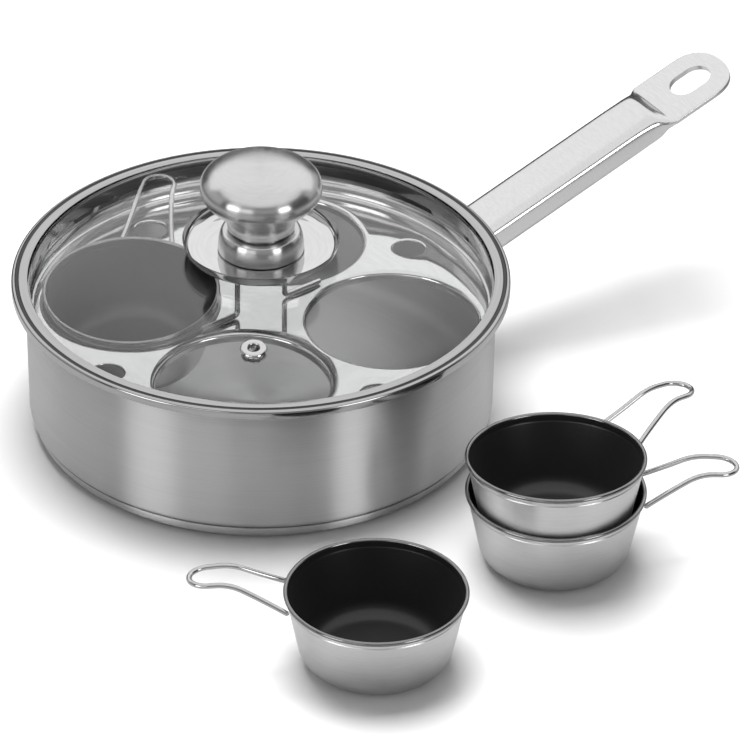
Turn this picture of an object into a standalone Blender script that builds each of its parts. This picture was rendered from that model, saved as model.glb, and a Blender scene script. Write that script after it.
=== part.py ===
# Egg poacher: a clad steel pan with a long hollow handle, a tray that hangs from the pan's rim, four
# poaching cups with wire grips, and a glass lid in a steel band with a knob on a dish.
# Metres, +Z up. The pan's axis is Z, its base stands on z = 0 and the front faces -Y.

import bmesh
import bpy
from math import atan, atan2, copysign, cos, pi, radians, sin, sqrt, tan
from mathutils import Matrix, Vector

# Clearances
GAP = 0.0003
OVERRUN = 0.003
MERGE = 0.00001

# Fineness
SIDES_LARGE = 40
SIDES_HOLE = 24
SIDES_CUP = 28
SIDES_SMALL = 20
SIDES_STEAM = 12
SIDES_TUBE = 24
ARC_STEP = radians(30)
BEAD_STEP = radians(45)
SMOOTH_ANGLE = radians(35)

# Cup: sheet steel, with a rolled bead at the rim and a small step inside below it
CUP_HEIGHT = 0.034
CUP_TOP_RADIUS = 0.03705
CUP_LEAN = radians(11.8)
CUP_SHEET = 0.0007
CUP_BASE_BEND = 0.0095
CUP_BEAD_RADIUS = 0.00095
CUP_STEP_DROP = 0.004
CUP_STEP_RISE = 0.0006

# Wire grip of a cup: two legs that rise from the wall, drawn in to a flat loop
GRIP_WIRE_RADIUS = 0.00115
GRIP_ROOT_DROP = 0.004
GRIP_ROOT_HALF_WIDTH = 0.0115
GRIP_LOOP_HALF_WIDTH = 0.0068
GRIP_DRAWING_IN = 1.7
GRIP_LEG_REACH = 0.023
GRIP_LEG_RISE = 0.0111
GRIP_TIP_MARGIN = 0.005513
GRIP_LOOP_FALL = 0.0018
GRIP_BEND_RADIUS = 0.02
GRIP_LOOP_END = 0.008
GRIP_LEG_STEPS = 9
GRIP_END_STEPS = 8

# Tray: four cup holes with turned-down lips, four steam holes between them, and an upturned wall
# with a flange that rests on the pan's rim
HOLE_COUNT = 4
HOLE_UNDERSIZE = 0.00035
HOLE_LIP_BEND = 0.0025
HOLE_LIP_DEPTH = 0.004
HOLE_AZIMUTH = radians(-8)
HOLE_WEB = 0.00136
HOLE_MARGIN = 0.0016
STEAM_RADIUS = 0.007
STEAM_MARGIN = 0.0097
TRAY_SHEET = 0.0007
TRAY_DEPTH = 0.01355
TRAY_CORNER = 0.002
TRAY_FLANGE_BEND = 0.001
TRAY_FLANGE_INSET = 0.0005

# Lift arch: a wire standing on the tray between the holes
ARCH_WIRE_RADIUS = 0.0012
ARCH_HALF_WIDTH = 0.0126
ARCH_HEIGHT = 0.0205
ARCH_TOP_BEND = 0.005
ARCH_FOOT_BEND = 0.002
ARCH_FOOT_REACH = 0.0315

# Pan: a thin wall that leans out a little, with a lip, on a clad base
PAN_HEIGHT = 0.0649
PAN_SHEET = 0.0007
PAN_LEAN = radians(0.8)
PAN_INNER_CORNER = 0.006
PAN_OUTER_CORNER = 0.0035
PAN_LIP_WIDTH = 0.0029
PAN_LIP_BEND = 0.001
BASE_HEIGHT = 0.0059
BASE_INSET = 0.0016
BASE_COVER_SHEET = 0.0008
BASE_COVER_BEND = 0.0052

# Lid: glass with a domed middle and a flat edge held in a steel band
GLASS_THICKNESS = 0.0025
GLASS_RISE = 0.0124
GLASS_FULLNESS = 6
GLASS_DOME_SHARES = (0.5, 0.82, 0.9, 0.96, 1)
BAND_SHEET = 0.0005
BAND_OVERHANG = 0.003
BAND_COVER = 0.007
BAND_TOP_BEND = 0.0018
BAND_SKIRT_DEPTH = 0.0042
VENT_AZIMUTH = radians(-92.4)
VENT_INSET = 0.025885
EYELET_BORE = 0.00235
EYELET_SHANK = 0.0042
EYELET_FLANGE = 0.00575
EYELET_CREST = 0.0011
EYELET_FOOT_FLANGE = 0.0054
EYELET_FOOT_SHEET = 0.0005
EYELET_FOOT_CLEARANCE = 0.0008

# Knob: screw, washer and two gaskets clamp the glass, under a dish, a flared collar and the head
SCREW_RADIUS = 0.0025
SCREW_HEAD_RADIUS = 0.0055
SCREW_HEAD_HEIGHT = 0.0016
SCREW_GRIP_LENGTH = 0.006
WASHER_RADIUS = 0.009
WASHER_SHEET = 0.0006
GASKET_RADIUS = 0.0115
GASKET_LOWER_SHEET = 0.0008
GASKET_UPPER_SHEET = 0.0006
DISH_RADIUS = 0.0336
DISH_FLAT_RADIUS = 0.0195
DISH_SHEET = 0.0006
DISH_RISE = 0.0056
DISH_HOLLOWING = 1.5
DISH_STEPS = 5
COLLAR_FOOT_RADIUS = 0.0185
COLLAR_TOP_RADIUS = 0.014
COLLAR_SPIGOT_RADIUS = 0.0134
COLLAR_HEIGHT = 0.0097
COLLAR_FLARE = 1.8
COLLAR_STEPS = 5
GROOVE_HEIGHT = 0.0006
HEAD_NECK_RADIUS = 0.0145
HEAD_NECK_HEIGHT = 0.0027
HEAD_RADIUS = 0.02615
HEAD_UNDER_HEIGHT = 0.018
HEAD_DOME_HEIGHT = 0.0102
HEAD_DOME_FULLNESS = 2.25
HEAD_UNDER_STEPS = 6
HEAD_DOME_STEPS = 6

# Pan handle: a hollow rounded tube that rises outwards and closes into a flat tab with a hole
HANDLE_AZIMUTH = radians(31)
HANDLE_SLOPE = radians(20.2)
HANDLE_DROP = 0.0116
HANDLE_LENGTH = 0.1457
HANDLE_WIDTH = 0.0256
HANDLE_DEPTH = 0.0138
HANDLE_SQUARENESS = 4.5
HANDLE_SHEET = 0.001
HANDLE_CLOSING_LENGTH = 0.022
# Between the tube and the tab: place along the closing length, widening and thinning, and squareness
HANDLE_CLOSING_SHARES = (
    (0.4, 0.04, 0.0, 4.0),
    (0.68, 0.2, 0.03, 3.2),
    (0.83, 0.56, 0.5, 2.8),
    (0.95, 0.94, 0.96, 5.0),
)
HANDLE_BORE_RINGS = 4
TAB_LENGTH = 0.0364
TAB_WIDTH = 0.0335
TAB_THICKNESS = 0.0024
TAB_RAISE = 0.0013
TAB_SQUARENESS = 9.0
TAB_END_REACH = 0.015
TAB_END_SQUARENESS = 2.3
TAB_END_STEPS = 6
HANGING_HOLE_LENGTH = 0.0198
HANGING_HOLE_WIDTH = 0.014
HANGING_HOLE_INSET = 0.0171

# Bracket between the pan's wall and the handle's tube
BRACKET_PAD_WIDTH = 0.022
BRACKET_PAD_HEIGHT = 0.016
BRACKET_PAD_THICKNESS = 0.0022
BRACKET_TONGUE_LENGTH = 0.034

# Loose cups: a hangs tilted in the left hole, b stands in front, c and d are stacked on the right
CUP_A_HOLE_INDEX = 2
CUP_A_SHIFT_RIGHT = 0.0003
CUP_A_SHIFT_FORWARD = 0.00025
CUP_A_LIFT = 0.0053
CUP_A_TILT = radians(4.2)
CUP_A_GRIP_AZIMUTH = radians(81)
CUP_B_AZIMUTH = radians(-75.7)
CUP_B_STAND_OFF = 0.0445
CUP_B_GRIP_AZIMUTH = radians(179.3)
CUP_C_AZIMUTH = radians(-41.9)
CUP_C_STAND_OFF = 0.0201
CUP_C_GRIP_AZIMUTH = radians(6.5)
CUP_D_SHIFT_LEFT = 0.0004
CUP_D_SHIFT_FORWARD = 0.00075
CUP_D_LIFT = 0.01715
CUP_D_TILT = radians(-4.4)
CUP_D_GRIP_AZIMUTH = radians(40.9)

# Derived sizes that several pieces share, worked out from the cups outwards
hole_radius = CUP_TOP_RADIUS - HOLE_UNDERSIZE
hole_lip_radius = hole_radius + HOLE_LIP_BEND
hole_pitch = (2 * hole_lip_radius + HOLE_WEB) / 2 / sin(pi / HOLE_COUNT)
tray_flat_radius = hole_pitch + hole_lip_radius + HOLE_MARGIN
tray_inner_radius = tray_flat_radius + TRAY_CORNER
tray_outer_radius = tray_inner_radius + TRAY_SHEET
tray_flange_top = PAN_HEIGHT + GAP + TRAY_SHEET
tray_top = tray_flange_top - TRAY_DEPTH
tray_bottom = tray_top - TRAY_SHEET
pan_inner_radius = tray_outer_radius + GAP + (PAN_HEIGHT - tray_bottom) * tan(PAN_LEAN)
pan_outer_radius = pan_inner_radius + PAN_SHEET
pan_lip_radius = pan_outer_radius + PAN_LIP_WIDTH
pan_underside = BASE_HEIGHT + GAP
pan_foot_radius = pan_outer_radius - (PAN_HEIGHT - pan_underside) * tan(PAN_LEAN)
handle_start = (GAP + BRACKET_PAD_THICKNESS + GAP) / cos(HANDLE_SLOPE)
band_radius = pan_lip_radius + BAND_OVERHANG
band_bottom = tray_flange_top + GAP
band_top = band_bottom + 2 * BAND_SHEET + 2 * GAP + GLASS_THICKNESS
band_mouth_radius = band_radius - BAND_COVER
vent_distance = band_mouth_radius - VENT_INSET
glass_edge_top = band_top - BAND_SHEET - GAP
glass_top = glass_edge_top + GLASS_RISE
glass_bottom = glass_top - GLASS_THICKNESS
screw_hole_radius = SCREW_RADIUS + GAP
gasket_upper_bottom = glass_top + GAP
dish_bottom = gasket_upper_bottom + GASKET_UPPER_SHEET + GAP
collar_bottom = dish_bottom + DISH_SHEET + GAP
collar_top = collar_bottom + COLLAR_HEIGHT
head_bottom = collar_top + GROOVE_HEIGHT
gasket_lower_top = glass_bottom - GAP
washer_top = gasket_lower_top - GASKET_LOWER_SHEET - GAP
screw_head_top = washer_top - WASHER_SHEET - GAP

for found in list(bpy.data.objects):
    bpy.data.objects.remove(found)

parts = bpy.data.collections.new("egg_poacher_pan")
cutters = bpy.data.collections.new("cutters")
bpy.context.scene.collection.children.link(parts)
bpy.context.scene.collection.children.link(cutters)


def look(name, colour, roughness, metallic):
    made = bpy.data.materials.new(name)
    made.use_nodes = True
    shader = made.node_tree.nodes["Principled BSDF"]
    shader.inputs["Base Color"].default_value = (*colour, 1)
    shader.inputs["Roughness"].default_value = roughness
    shader.inputs["Metallic"].default_value = metallic
    return made


def place(name, data, surface, parent=None):
    data.materials.append(surface)
    piece = bpy.data.objects.new(name, data)
    piece.parent = parent
    parts.objects.link(piece)
    return piece


def group(name, location=(0, 0, 0), tilt=0, azimuth=0):
    # An empty that carries the pieces that move together, turned about Z and then tilted about X
    empty = bpy.data.objects.new(name, None)
    empty.location = location
    empty.rotation_mode = "ZYX"
    empty.rotation_euler = (tilt, 0, azimuth)
    parts.objects.link(empty)
    return empty


def arc(x, y, radius, start, sweep, step_angle=ARC_STEP):
    steps = max(1, round(abs(sweep) / step_angle))
    angles = [start + sweep * step / steps for step in range(steps + 1)]
    return [(x + radius * cos(angle), y + radius * sin(angle)) for angle in angles]


def rounded(corners):
    # A path through (x, y, radius) corners, where a corner with a radius becomes an arc
    path = []
    for before, corner, after in zip(corners[:1] + corners, corners, corners[1:] + corners[-1:]):
        here = Vector(corner[:2])
        radius = corner[2]
        if radius == 0:
            path.append((here.x, here.y))
            continue
        back = (Vector(before[:2]) - here).normalized()
        ahead = (Vector(after[:2]) - here).normalized()
        half = back.angle(ahead) / 2
        middle = here + (back + ahead).normalized() * radius / sin(half)
        first = here + back * radius / tan(half) - middle
        side = copysign(1, back.y * ahead.x - back.x * ahead.y)
        path += arc(middle.x, middle.y, radius, atan2(first.y, first.x), side * (pi - 2 * half))
    return path


def turned(name, profile, sides, surface, parent=None):
    # A turned body: the profile runs down its outer side, from axis to axis or closed into a ring
    count = len(profile)
    edges = [(index, index + 1) for index in range(count - 1)]
    if profile[0][0] > 0:
        edges.append((count - 1, 0))
    mesh = bpy.data.meshes.new(name)
    mesh.from_pydata([(x, 0, z) for x, z in profile], edges, [])
    piece = place(name, mesh, surface, parent)
    screw = piece.modifiers.new("turn", "SCREW")
    screw.steps = sides
    screw.render_steps = sides
    screw.use_merge_vertices = True
    screw.merge_threshold = MERGE
    return piece


def wire(name, points, radius, surface, parent=None):
    curve = bpy.data.curves.new(name, "CURVE")
    curve.dimensions = "3D"
    curve.bevel_depth = radius
    curve.bevel_resolution = 2
    curve.use_fill_caps = True
    spline = curve.splines.new("POLY")
    spline.points.add(len(points) - 1)
    for knot, point in zip(spline.points, points):
        knot.co = (*point, 1)
    return place(name, curve, surface, parent)


def washer(name, inner, outer, bottom, top, sides, surface, parent):
    ring = [(inner, top), (outer, top), (outer, bottom), (inner, bottom)]
    return turned(name, ring, sides, surface, parent)


def cutter(name, bm, matrix):
    mesh = bpy.data.meshes.new(name)
    bm.to_mesh(mesh)
    bm.free()
    tool = bpy.data.objects.new(name, mesh)
    tool.matrix_world = matrix
    tool.display_type = "WIRE"
    tool.hide_render = True
    cutters.objects.link(tool)
    return tool


def boolean(piece, tool, operation):
    modifier = piece.modifiers.new(tool.name, "BOOLEAN")
    modifier.object = tool
    modifier.operation = operation


def pan_wall_radius(height):
    return pan_outer_radius - (PAN_HEIGHT - height) * tan(PAN_LEAN)


def pan_shell(surface):
    floor = pan_underside + PAN_SHEET
    inner_foot = pan_foot_radius - PAN_SHEET
    corners = [
        (0, floor, 0),
        (inner_foot, floor, PAN_INNER_CORNER),
        (pan_inner_radius, PAN_HEIGHT, PAN_LIP_BEND),
        (pan_lip_radius, PAN_HEIGHT, 0),
        (pan_lip_radius, PAN_HEIGHT - PAN_SHEET, 0),
        (pan_outer_radius, PAN_HEIGHT - PAN_SHEET, 0),
        (pan_foot_radius, pan_underside, PAN_OUTER_CORNER),
        (0, pan_underside, 0),
    ]
    return turned("pan_shell", rounded(corners), SIDES_LARGE, surface)


def base_cover(surface):
    outer = pan_foot_radius - BASE_INSET
    inner = outer - BASE_COVER_SHEET
    corners = [
        (0, BASE_COVER_SHEET, 0),
        (inner, BASE_COVER_SHEET, BASE_COVER_BEND - BASE_COVER_SHEET),
        (inner, BASE_HEIGHT, 0),
        (outer, BASE_HEIGHT, 0),
        (outer, 0, BASE_COVER_BEND),
        (0, 0, 0),
    ]
    return turned("base_cover", rounded(corners), SIDES_LARGE, surface)


def base_core(surface):
    radius = pan_foot_radius - BASE_INSET - BASE_COVER_SHEET - GAP
    bottom = BASE_COVER_SHEET + GAP
    corners = [
        (0, BASE_HEIGHT, 0),
        (radius, BASE_HEIGHT, 0),
        (radius, bottom, BASE_COVER_BEND - BASE_COVER_SHEET - GAP),
        (0, bottom, 0),
    ]
    return turned("base_core", rounded(corners), SIDES_LARGE, surface)


def rim_edges(verts):
    return list({edge for vert in verts for edge in vert.link_edges})


def draw_rim(bm, edges, centre, path):
    # Draws an open round edge on through (radius, height) steps about its centre
    for radius, height in path:
        drawn = bmesh.ops.extrude_edge_only(bm, edges=edges)["geom"]
        verts = [item for item in drawn if isinstance(item, bmesh.types.BMVert)]
        edges = [item for item in drawn if isinstance(item, bmesh.types.BMEdge) and item.is_boundary]
        for vert in verts:
            outward = (vert.co.xy - centre).normalized()
            vert.co.xy = centre + outward * radius
            vert.co.z = height


def tray_plate(surface, parent):
    # The plate is one sheet: a flat with holes whose edges are drawn down, and an outer edge drawn up
    bm = bmesh.new()
    level = Matrix.Translation((0, 0, tray_top))
    outer = bmesh.ops.create_circle(bm, segments=SIDES_LARGE, radius=tray_flat_radius, matrix=level)["verts"]
    holes = []
    for index in range(HOLE_COUNT):
        azimuth = HOLE_AZIMUTH + 2 * pi * index / HOLE_COUNT
        centre = hole_centre(index)
        spot = Matrix.Translation((*centre, tray_top))
        found = bmesh.ops.create_circle(bm, segments=SIDES_HOLE, radius=hole_lip_radius, matrix=spot)["verts"]
        holes.append((rim_edges(found), centre))
        steam = azimuth + pi / HOLE_COUNT
        distance = tray_flat_radius - STEAM_MARGIN - STEAM_RADIUS
        spot = Matrix.Translation((distance * cos(steam), distance * sin(steam), tray_top))
        bmesh.ops.create_circle(bm, segments=SIDES_STEAM, radius=STEAM_RADIUS, matrix=spot)
    outer_edges = rim_edges(outer)
    bmesh.ops.triangle_fill(bm, use_beauty=True, edges=bm.edges[:])
    lip = arc(hole_lip_radius, tray_top - HOLE_LIP_BEND, HOLE_LIP_BEND, pi / 2, pi / 2)[1:]
    lip.append((hole_radius, tray_top - HOLE_LIP_DEPTH))
    for edges, centre in holes:
        draw_rim(bm, edges, centre, lip)
    wall = rounded([
        (tray_flat_radius, tray_top, 0),
        (tray_inner_radius, tray_top, TRAY_CORNER),
        (tray_inner_radius, tray_flange_top, TRAY_FLANGE_BEND),
        (pan_lip_radius - TRAY_FLANGE_INSET, tray_flange_top, 0),
    ])
    draw_rim(bm, outer_edges, Vector((0, 0)), wall[2:])
    bmesh.ops.recalc_face_normals(bm, faces=bm.faces[:])
    flat = max(bm.faces, key=lambda face: abs(face.normal.z) * face.calc_area())
    if flat.normal.z < 0:
        bmesh.ops.reverse_faces(bm, faces=bm.faces[:])
    mesh = bpy.data.meshes.new("tray_plate")
    bm.to_mesh(mesh)
    bm.free()
    piece = place("tray_plate", mesh, surface, parent)
    sheet = piece.modifiers.new("sheet", "SOLIDIFY")
    sheet.thickness = TRAY_SHEET
    sheet.offset = -1
    sheet.use_even_offset = True
    return piece


def hole_centre(index):
    azimuth = HOLE_AZIMUTH + 2 * pi * index / HOLE_COUNT
    return Vector((hole_pitch * cos(azimuth), hole_pitch * sin(azimuth)))


def lift_arch(surface, parent):
    # Half of the arch from its foot to the middle of its top, then the other half mirrored
    foot = tray_top + GAP + ARCH_WIRE_RADIUS
    half = rounded([
        (ARCH_FOOT_REACH, foot, 0),
        (ARCH_HALF_WIDTH, foot, ARCH_FOOT_BEND),
        (ARCH_HALF_WIDTH, tray_top + ARCH_HEIGHT, ARCH_TOP_BEND),
        (0, tray_top + ARCH_HEIGHT, 0),
    ])
    across = half[:-1] + [(-x, z) for x, z in reversed(half[:-1])]
    azimuth = HOLE_AZIMUTH + pi / HOLE_COUNT
    points = [(x * cos(azimuth), x * sin(azimuth), z) for x, z in across]
    return wire("lift_arch", points, ARCH_WIRE_RADIUS, surface, parent)


def cup_wall_radius(drop):
    # Outside of a cup's wall at a drop below its rim
    return CUP_TOP_RADIUS - (drop - 2 * CUP_BEAD_RADIUS) * tan(CUP_LEAN)


def cup_shell(name, surface, parent):
    # Heights count down from the rim
    floor = CUP_SHEET - CUP_HEIGHT
    across = CUP_SHEET / cos(CUP_LEAN)
    bead_height = -CUP_BEAD_RADIUS
    inner = rounded([
        (0, floor, 0),
        (cup_wall_radius(-floor) - across, floor, CUP_BASE_BEND - CUP_SHEET),
        (cup_wall_radius(CUP_STEP_DROP) - across, -CUP_STEP_DROP, 0),
    ])
    shoulder = [(CUP_TOP_RADIUS - CUP_BEAD_RADIUS, CUP_STEP_RISE - CUP_STEP_DROP)]
    bead = arc(CUP_TOP_RADIUS, bead_height, CUP_BEAD_RADIUS, pi, -3 * pi / 2, BEAD_STEP)
    outer = rounded([
        (CUP_TOP_RADIUS, -2 * CUP_BEAD_RADIUS, 0),
        (cup_wall_radius(CUP_HEIGHT), -CUP_HEIGHT, CUP_BASE_BEND),
        (0, -CUP_HEIGHT, 0),
    ])
    return turned(name, inner + shoulder + bead + outer[1:], SIDES_CUP, surface, parent)


def height_on(path, x):
    for (x0, z0), (x1, z1) in zip(path, path[1:]):
        if x <= x1:
            return z0 + (z1 - z0) * (x - x0) / (x1 - x0)
    return path[-1][1]


def hung_cup_place():
    return hole_centre(CUP_A_HOLE_INDEX) + Vector((CUP_A_SHIFT_RIGHT, -CUP_A_SHIFT_FORWARD))


def grip_length():
    # From a cup's axis to the loop's tip, as long as the cup that hangs under the lid has room for
    place = hung_cup_place()
    along = place.dot(Vector((cos(CUP_A_GRIP_AZIMUTH), sin(CUP_A_GRIP_AZIMUTH))))
    limit = tray_inner_radius - GRIP_TIP_MARGIN
    return sqrt(along ** 2 - place.length_squared + limit ** 2) - along


def cup_handle(name, surface, parent):
    stand = cup_wall_radius(GRIP_ROOT_DROP) + GAP + GRIP_WIRE_RADIUS
    root = sqrt(stand ** 2 - GRIP_ROOT_HALF_WIDTH ** 2)
    bend = root + GRIP_LEG_REACH
    tip = grip_length()
    spine = rounded([
        (root, -GRIP_ROOT_DROP, 0),
        (bend, GRIP_LEG_RISE - GRIP_ROOT_DROP, GRIP_BEND_RADIUS),
        (tip, GRIP_LEG_RISE - GRIP_ROOT_DROP - GRIP_LOOP_FALL, 0),
    ])
    loop = tip - GRIP_LOOP_END
    side = []
    for step in range(GRIP_LEG_STEPS + 1):
        along = step / GRIP_LEG_STEPS
        spread = (GRIP_ROOT_HALF_WIDTH - GRIP_LOOP_HALF_WIDTH) * (1 - along) ** GRIP_DRAWING_IN
        side.append((root + (loop - root) * along, GRIP_LOOP_HALF_WIDTH + spread))
    end = []
    for step in range(1, GRIP_END_STEPS):
        turn = pi * step / GRIP_END_STEPS
        end.append((loop + GRIP_LOOP_END * sin(turn), GRIP_LOOP_HALF_WIDTH * cos(turn)))
    outline = side + end + [(x, -y) for x, y in reversed(side)]
    points = [(x, y, height_on(spine, x)) for x, y in outline]
    return wire(name, points, GRIP_WIRE_RADIUS, surface, parent)


def cup(letter, rim_centre, tilt, azimuth, steel, wire_steel):
    holder = group("cup_" + letter, rim_centre, tilt, azimuth)
    cup_shell("cup_" + letter + "_shell", steel, holder)
    cup_handle("cup_" + letter + "_handle", wire_steel, holder)


def glass_height(radius):
    # Top face of the glass: flat at the middle, rounding down to the edge in the band
    share = min(radius / band_mouth_radius, 1)
    return glass_edge_top + GLASS_RISE * (1 - share ** GLASS_FULLNESS)


def vent_matrix():
    # The vent stands square to the glass, with its origin on the top face
    share = vent_distance / band_mouth_radius
    slope = GLASS_RISE * GLASS_FULLNESS * share ** (GLASS_FULLNESS - 1) / band_mouth_radius
    spot = Matrix.Translation((vent_distance, 0, glass_height(vent_distance)))
    return Matrix.Rotation(VENT_AZIMUTH, 4, "Z") @ spot @ Matrix.Rotation(atan(slope), 4, "Y")


def lid_glass(surface, parent):
    radii = [screw_hole_radius, vent_distance] + [share * band_mouth_radius for share in GLASS_DOME_SHARES]
    radii.sort()
    top = [(radius, glass_height(radius)) for radius in radii]
    bottom = [(radius, height - GLASS_THICKNESS) for radius, height in reversed(top)]
    edge = band_radius - BAND_SHEET - GAP
    rim = rounded([
        (*top[-1], 0),
        (edge, glass_edge_top, BAND_TOP_BEND - BAND_SHEET - GAP),
        (edge, glass_edge_top - GLASS_THICKNESS, 0),
    ])
    piece = turned("lid_glass", top + rim[1:] + bottom, SIDES_LARGE, surface, parent)
    bm = bmesh.new()
    bmesh.ops.create_cone(
        bm, cap_ends=True, segments=SIDES_SMALL, radius1=EYELET_SHANK + GAP, radius2=EYELET_SHANK + GAP,
        depth=2 * (GLASS_THICKNESS + OVERRUN))
    boolean(piece, cutter("vent_hole", bm, vent_matrix()), "DIFFERENCE")
    return piece


def lid_band(surface, parent):
    # A channel round the glass's edge, with a skirt that drops inside the tray's wall
    skirt_outer = tray_inner_radius - GAP
    skirt_inner = skirt_outer - BAND_SHEET
    skirt_foot = band_bottom - BAND_SKIRT_DEPTH
    corners = [
        (band_mouth_radius, band_top, 0),
        (band_radius, band_top, BAND_TOP_BEND),
        (band_radius, band_bottom, 0),
        (skirt_outer, band_bottom, 0),
        (skirt_outer, skirt_foot, 0),
        (skirt_inner, skirt_foot, 0),
        (skirt_inner, band_bottom + BAND_SHEET, 0),
        (band_radius - BAND_SHEET, band_bottom + BAND_SHEET, 0),
        (band_radius - BAND_SHEET, band_top - BAND_SHEET, BAND_TOP_BEND - BAND_SHEET),
        (band_mouth_radius, band_top - BAND_SHEET, 0),
    ]
    return turned("lid_band", rounded(corners), SIDES_LARGE, surface, parent)


def vent_eyelet(surface, parent):
    foot = -GLASS_THICKNESS - EYELET_FOOT_CLEARANCE
    ring = [
        (EYELET_BORE, EYELET_CREST + GAP),
        ((EYELET_BORE + EYELET_FLANGE) / 2, EYELET_CREST + GAP),
        (EYELET_FLANGE, GAP),
        (EYELET_SHANK, GAP),
        (EYELET_SHANK, foot),
        (EYELET_FOOT_FLANGE, foot),
        (EYELET_FOOT_FLANGE, foot - EYELET_FOOT_SHEET),
        (EYELET_BORE, foot - EYELET_FOOT_SHEET),
    ]
    piece = turned("vent_eyelet", ring, SIDES_SMALL, surface, parent)
    piece.matrix_local = vent_matrix()
    return piece


def knob_dish(surface, parent):
    steps = [step / DISH_STEPS for step in range(DISH_STEPS + 1)]
    curve = [(DISH_FLAT_RADIUS + (DISH_RADIUS - DISH_FLAT_RADIUS) * step, DISH_RISE * step ** DISH_HOLLOWING)
             for step in steps]
    top = [(screw_hole_radius, 0)] + curve
    upper = [(x, dish_bottom + DISH_SHEET + z) for x, z in top]
    lower = [(x, dish_bottom + z) for x, z in reversed(top)]
    return turned("knob_dish", upper + lower, SIDES_CUP, surface, parent)


def knob_collar(surface, parent):
    steps = [step / COLLAR_STEPS for step in range(COLLAR_STEPS + 1)]
    flare = [(COLLAR_TOP_RADIUS + (COLLAR_FOOT_RADIUS - COLLAR_TOP_RADIUS) * step ** COLLAR_FLARE,
              collar_top - COLLAR_HEIGHT * step) for step in steps]
    spigot = collar_top + GROOVE_HEIGHT - GAP
    ring = [(screw_hole_radius, spigot), (COLLAR_SPIGOT_RADIUS, spigot), (COLLAR_SPIGOT_RADIUS, collar_top)]
    ring += flare
    ring.append((screw_hole_radius, collar_bottom))
    return turned("knob_collar", ring, SIDES_CUP, surface, parent)


def knob_head(surface, parent):
    # A mushroom on a neck, with a blind hole for the screw
    brim = head_bottom + HEAD_NECK_HEIGHT + HEAD_UNDER_HEIGHT
    bore_top = head_bottom + SCREW_GRIP_LENGTH + GAP
    profile = [(0, brim + HEAD_DOME_HEIGHT)]
    for step in range(1, HEAD_DOME_STEPS + 1):
        angle = pi / 2 * step / HEAD_DOME_STEPS
        across = sin(angle) ** (2 / HEAD_DOME_FULLNESS)
        up = max(cos(angle), 0) ** (2 / HEAD_DOME_FULLNESS)
        profile.append((HEAD_RADIUS * across, brim + HEAD_DOME_HEIGHT * up))
    for step in range(1, HEAD_UNDER_STEPS + 1):
        down = 1 - step / HEAD_UNDER_STEPS
        swell = down * down * (3 - 2 * down)
        radius = HEAD_NECK_RADIUS + (HEAD_RADIUS - HEAD_NECK_RADIUS) * swell
        profile.append((radius, brim - HEAD_UNDER_HEIGHT * (1 - down)))
    profile.append((HEAD_NECK_RADIUS, head_bottom))
    profile += [(screw_hole_radius, head_bottom), (screw_hole_radius, bore_top), (0, bore_top)]
    return turned("knob_head", profile, SIDES_CUP, surface, parent)


def knob_screw(surface, parent):
    tip = head_bottom + SCREW_GRIP_LENGTH
    foot = screw_head_top - SCREW_HEAD_HEIGHT
    profile = [(0, tip), (SCREW_RADIUS, tip), (SCREW_RADIUS, screw_head_top)]
    profile += [(SCREW_HEAD_RADIUS, screw_head_top), (SCREW_HEAD_RADIUS, foot), (0, foot)]
    return turned("knob_screw", profile, SIDES_STEAM, surface, parent)


def section(x, half_width, half_depth, squareness, raised=0, slant=0):
    # A ring of points across the handle's line: a rounded oblong, squarer with a higher exponent, and
    # leaning outwards as it rises where it has a slant
    ring = []
    for index in range(SIDES_TUBE):
        angle = 2 * pi * (index + 0.5) / SIDES_TUBE
        across = copysign(abs(cos(angle)) ** (2 / squareness), cos(angle))
        up = copysign(abs(sin(angle)) ** (2 / squareness), sin(angle))
        height = raised + half_depth * up
        ring.append(Vector((x + slant * height, half_width * across, height)))
    return ring


def loft(rings):
    # A closed body through rings of equal counts, capped at both ends
    bm = bmesh.new()
    loops = [[bm.verts.new(point) for point in ring] for ring in rings]
    for low, high in zip(loops, loops[1:]):
        for index in range(len(low)):
            bm.faces.new((low[index - 1], low[index], high[index], high[index - 1]))
    bm.faces.new(loops[0])
    bm.faces.new(loops[-1])
    bmesh.ops.recalc_face_normals(bm, faces=bm.faces[:])
    return bm


def handle_matrix():
    # X runs out along the handle from the pan's wall, Y across it
    spot = Matrix.Translation((pan_outer_radius, 0, PAN_HEIGHT - HANDLE_DROP))
    return Matrix.Rotation(HANDLE_AZIMUTH, 4, "Z") @ spot @ Matrix.Rotation(-HANDLE_SLOPE, 4, "Y")


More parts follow.
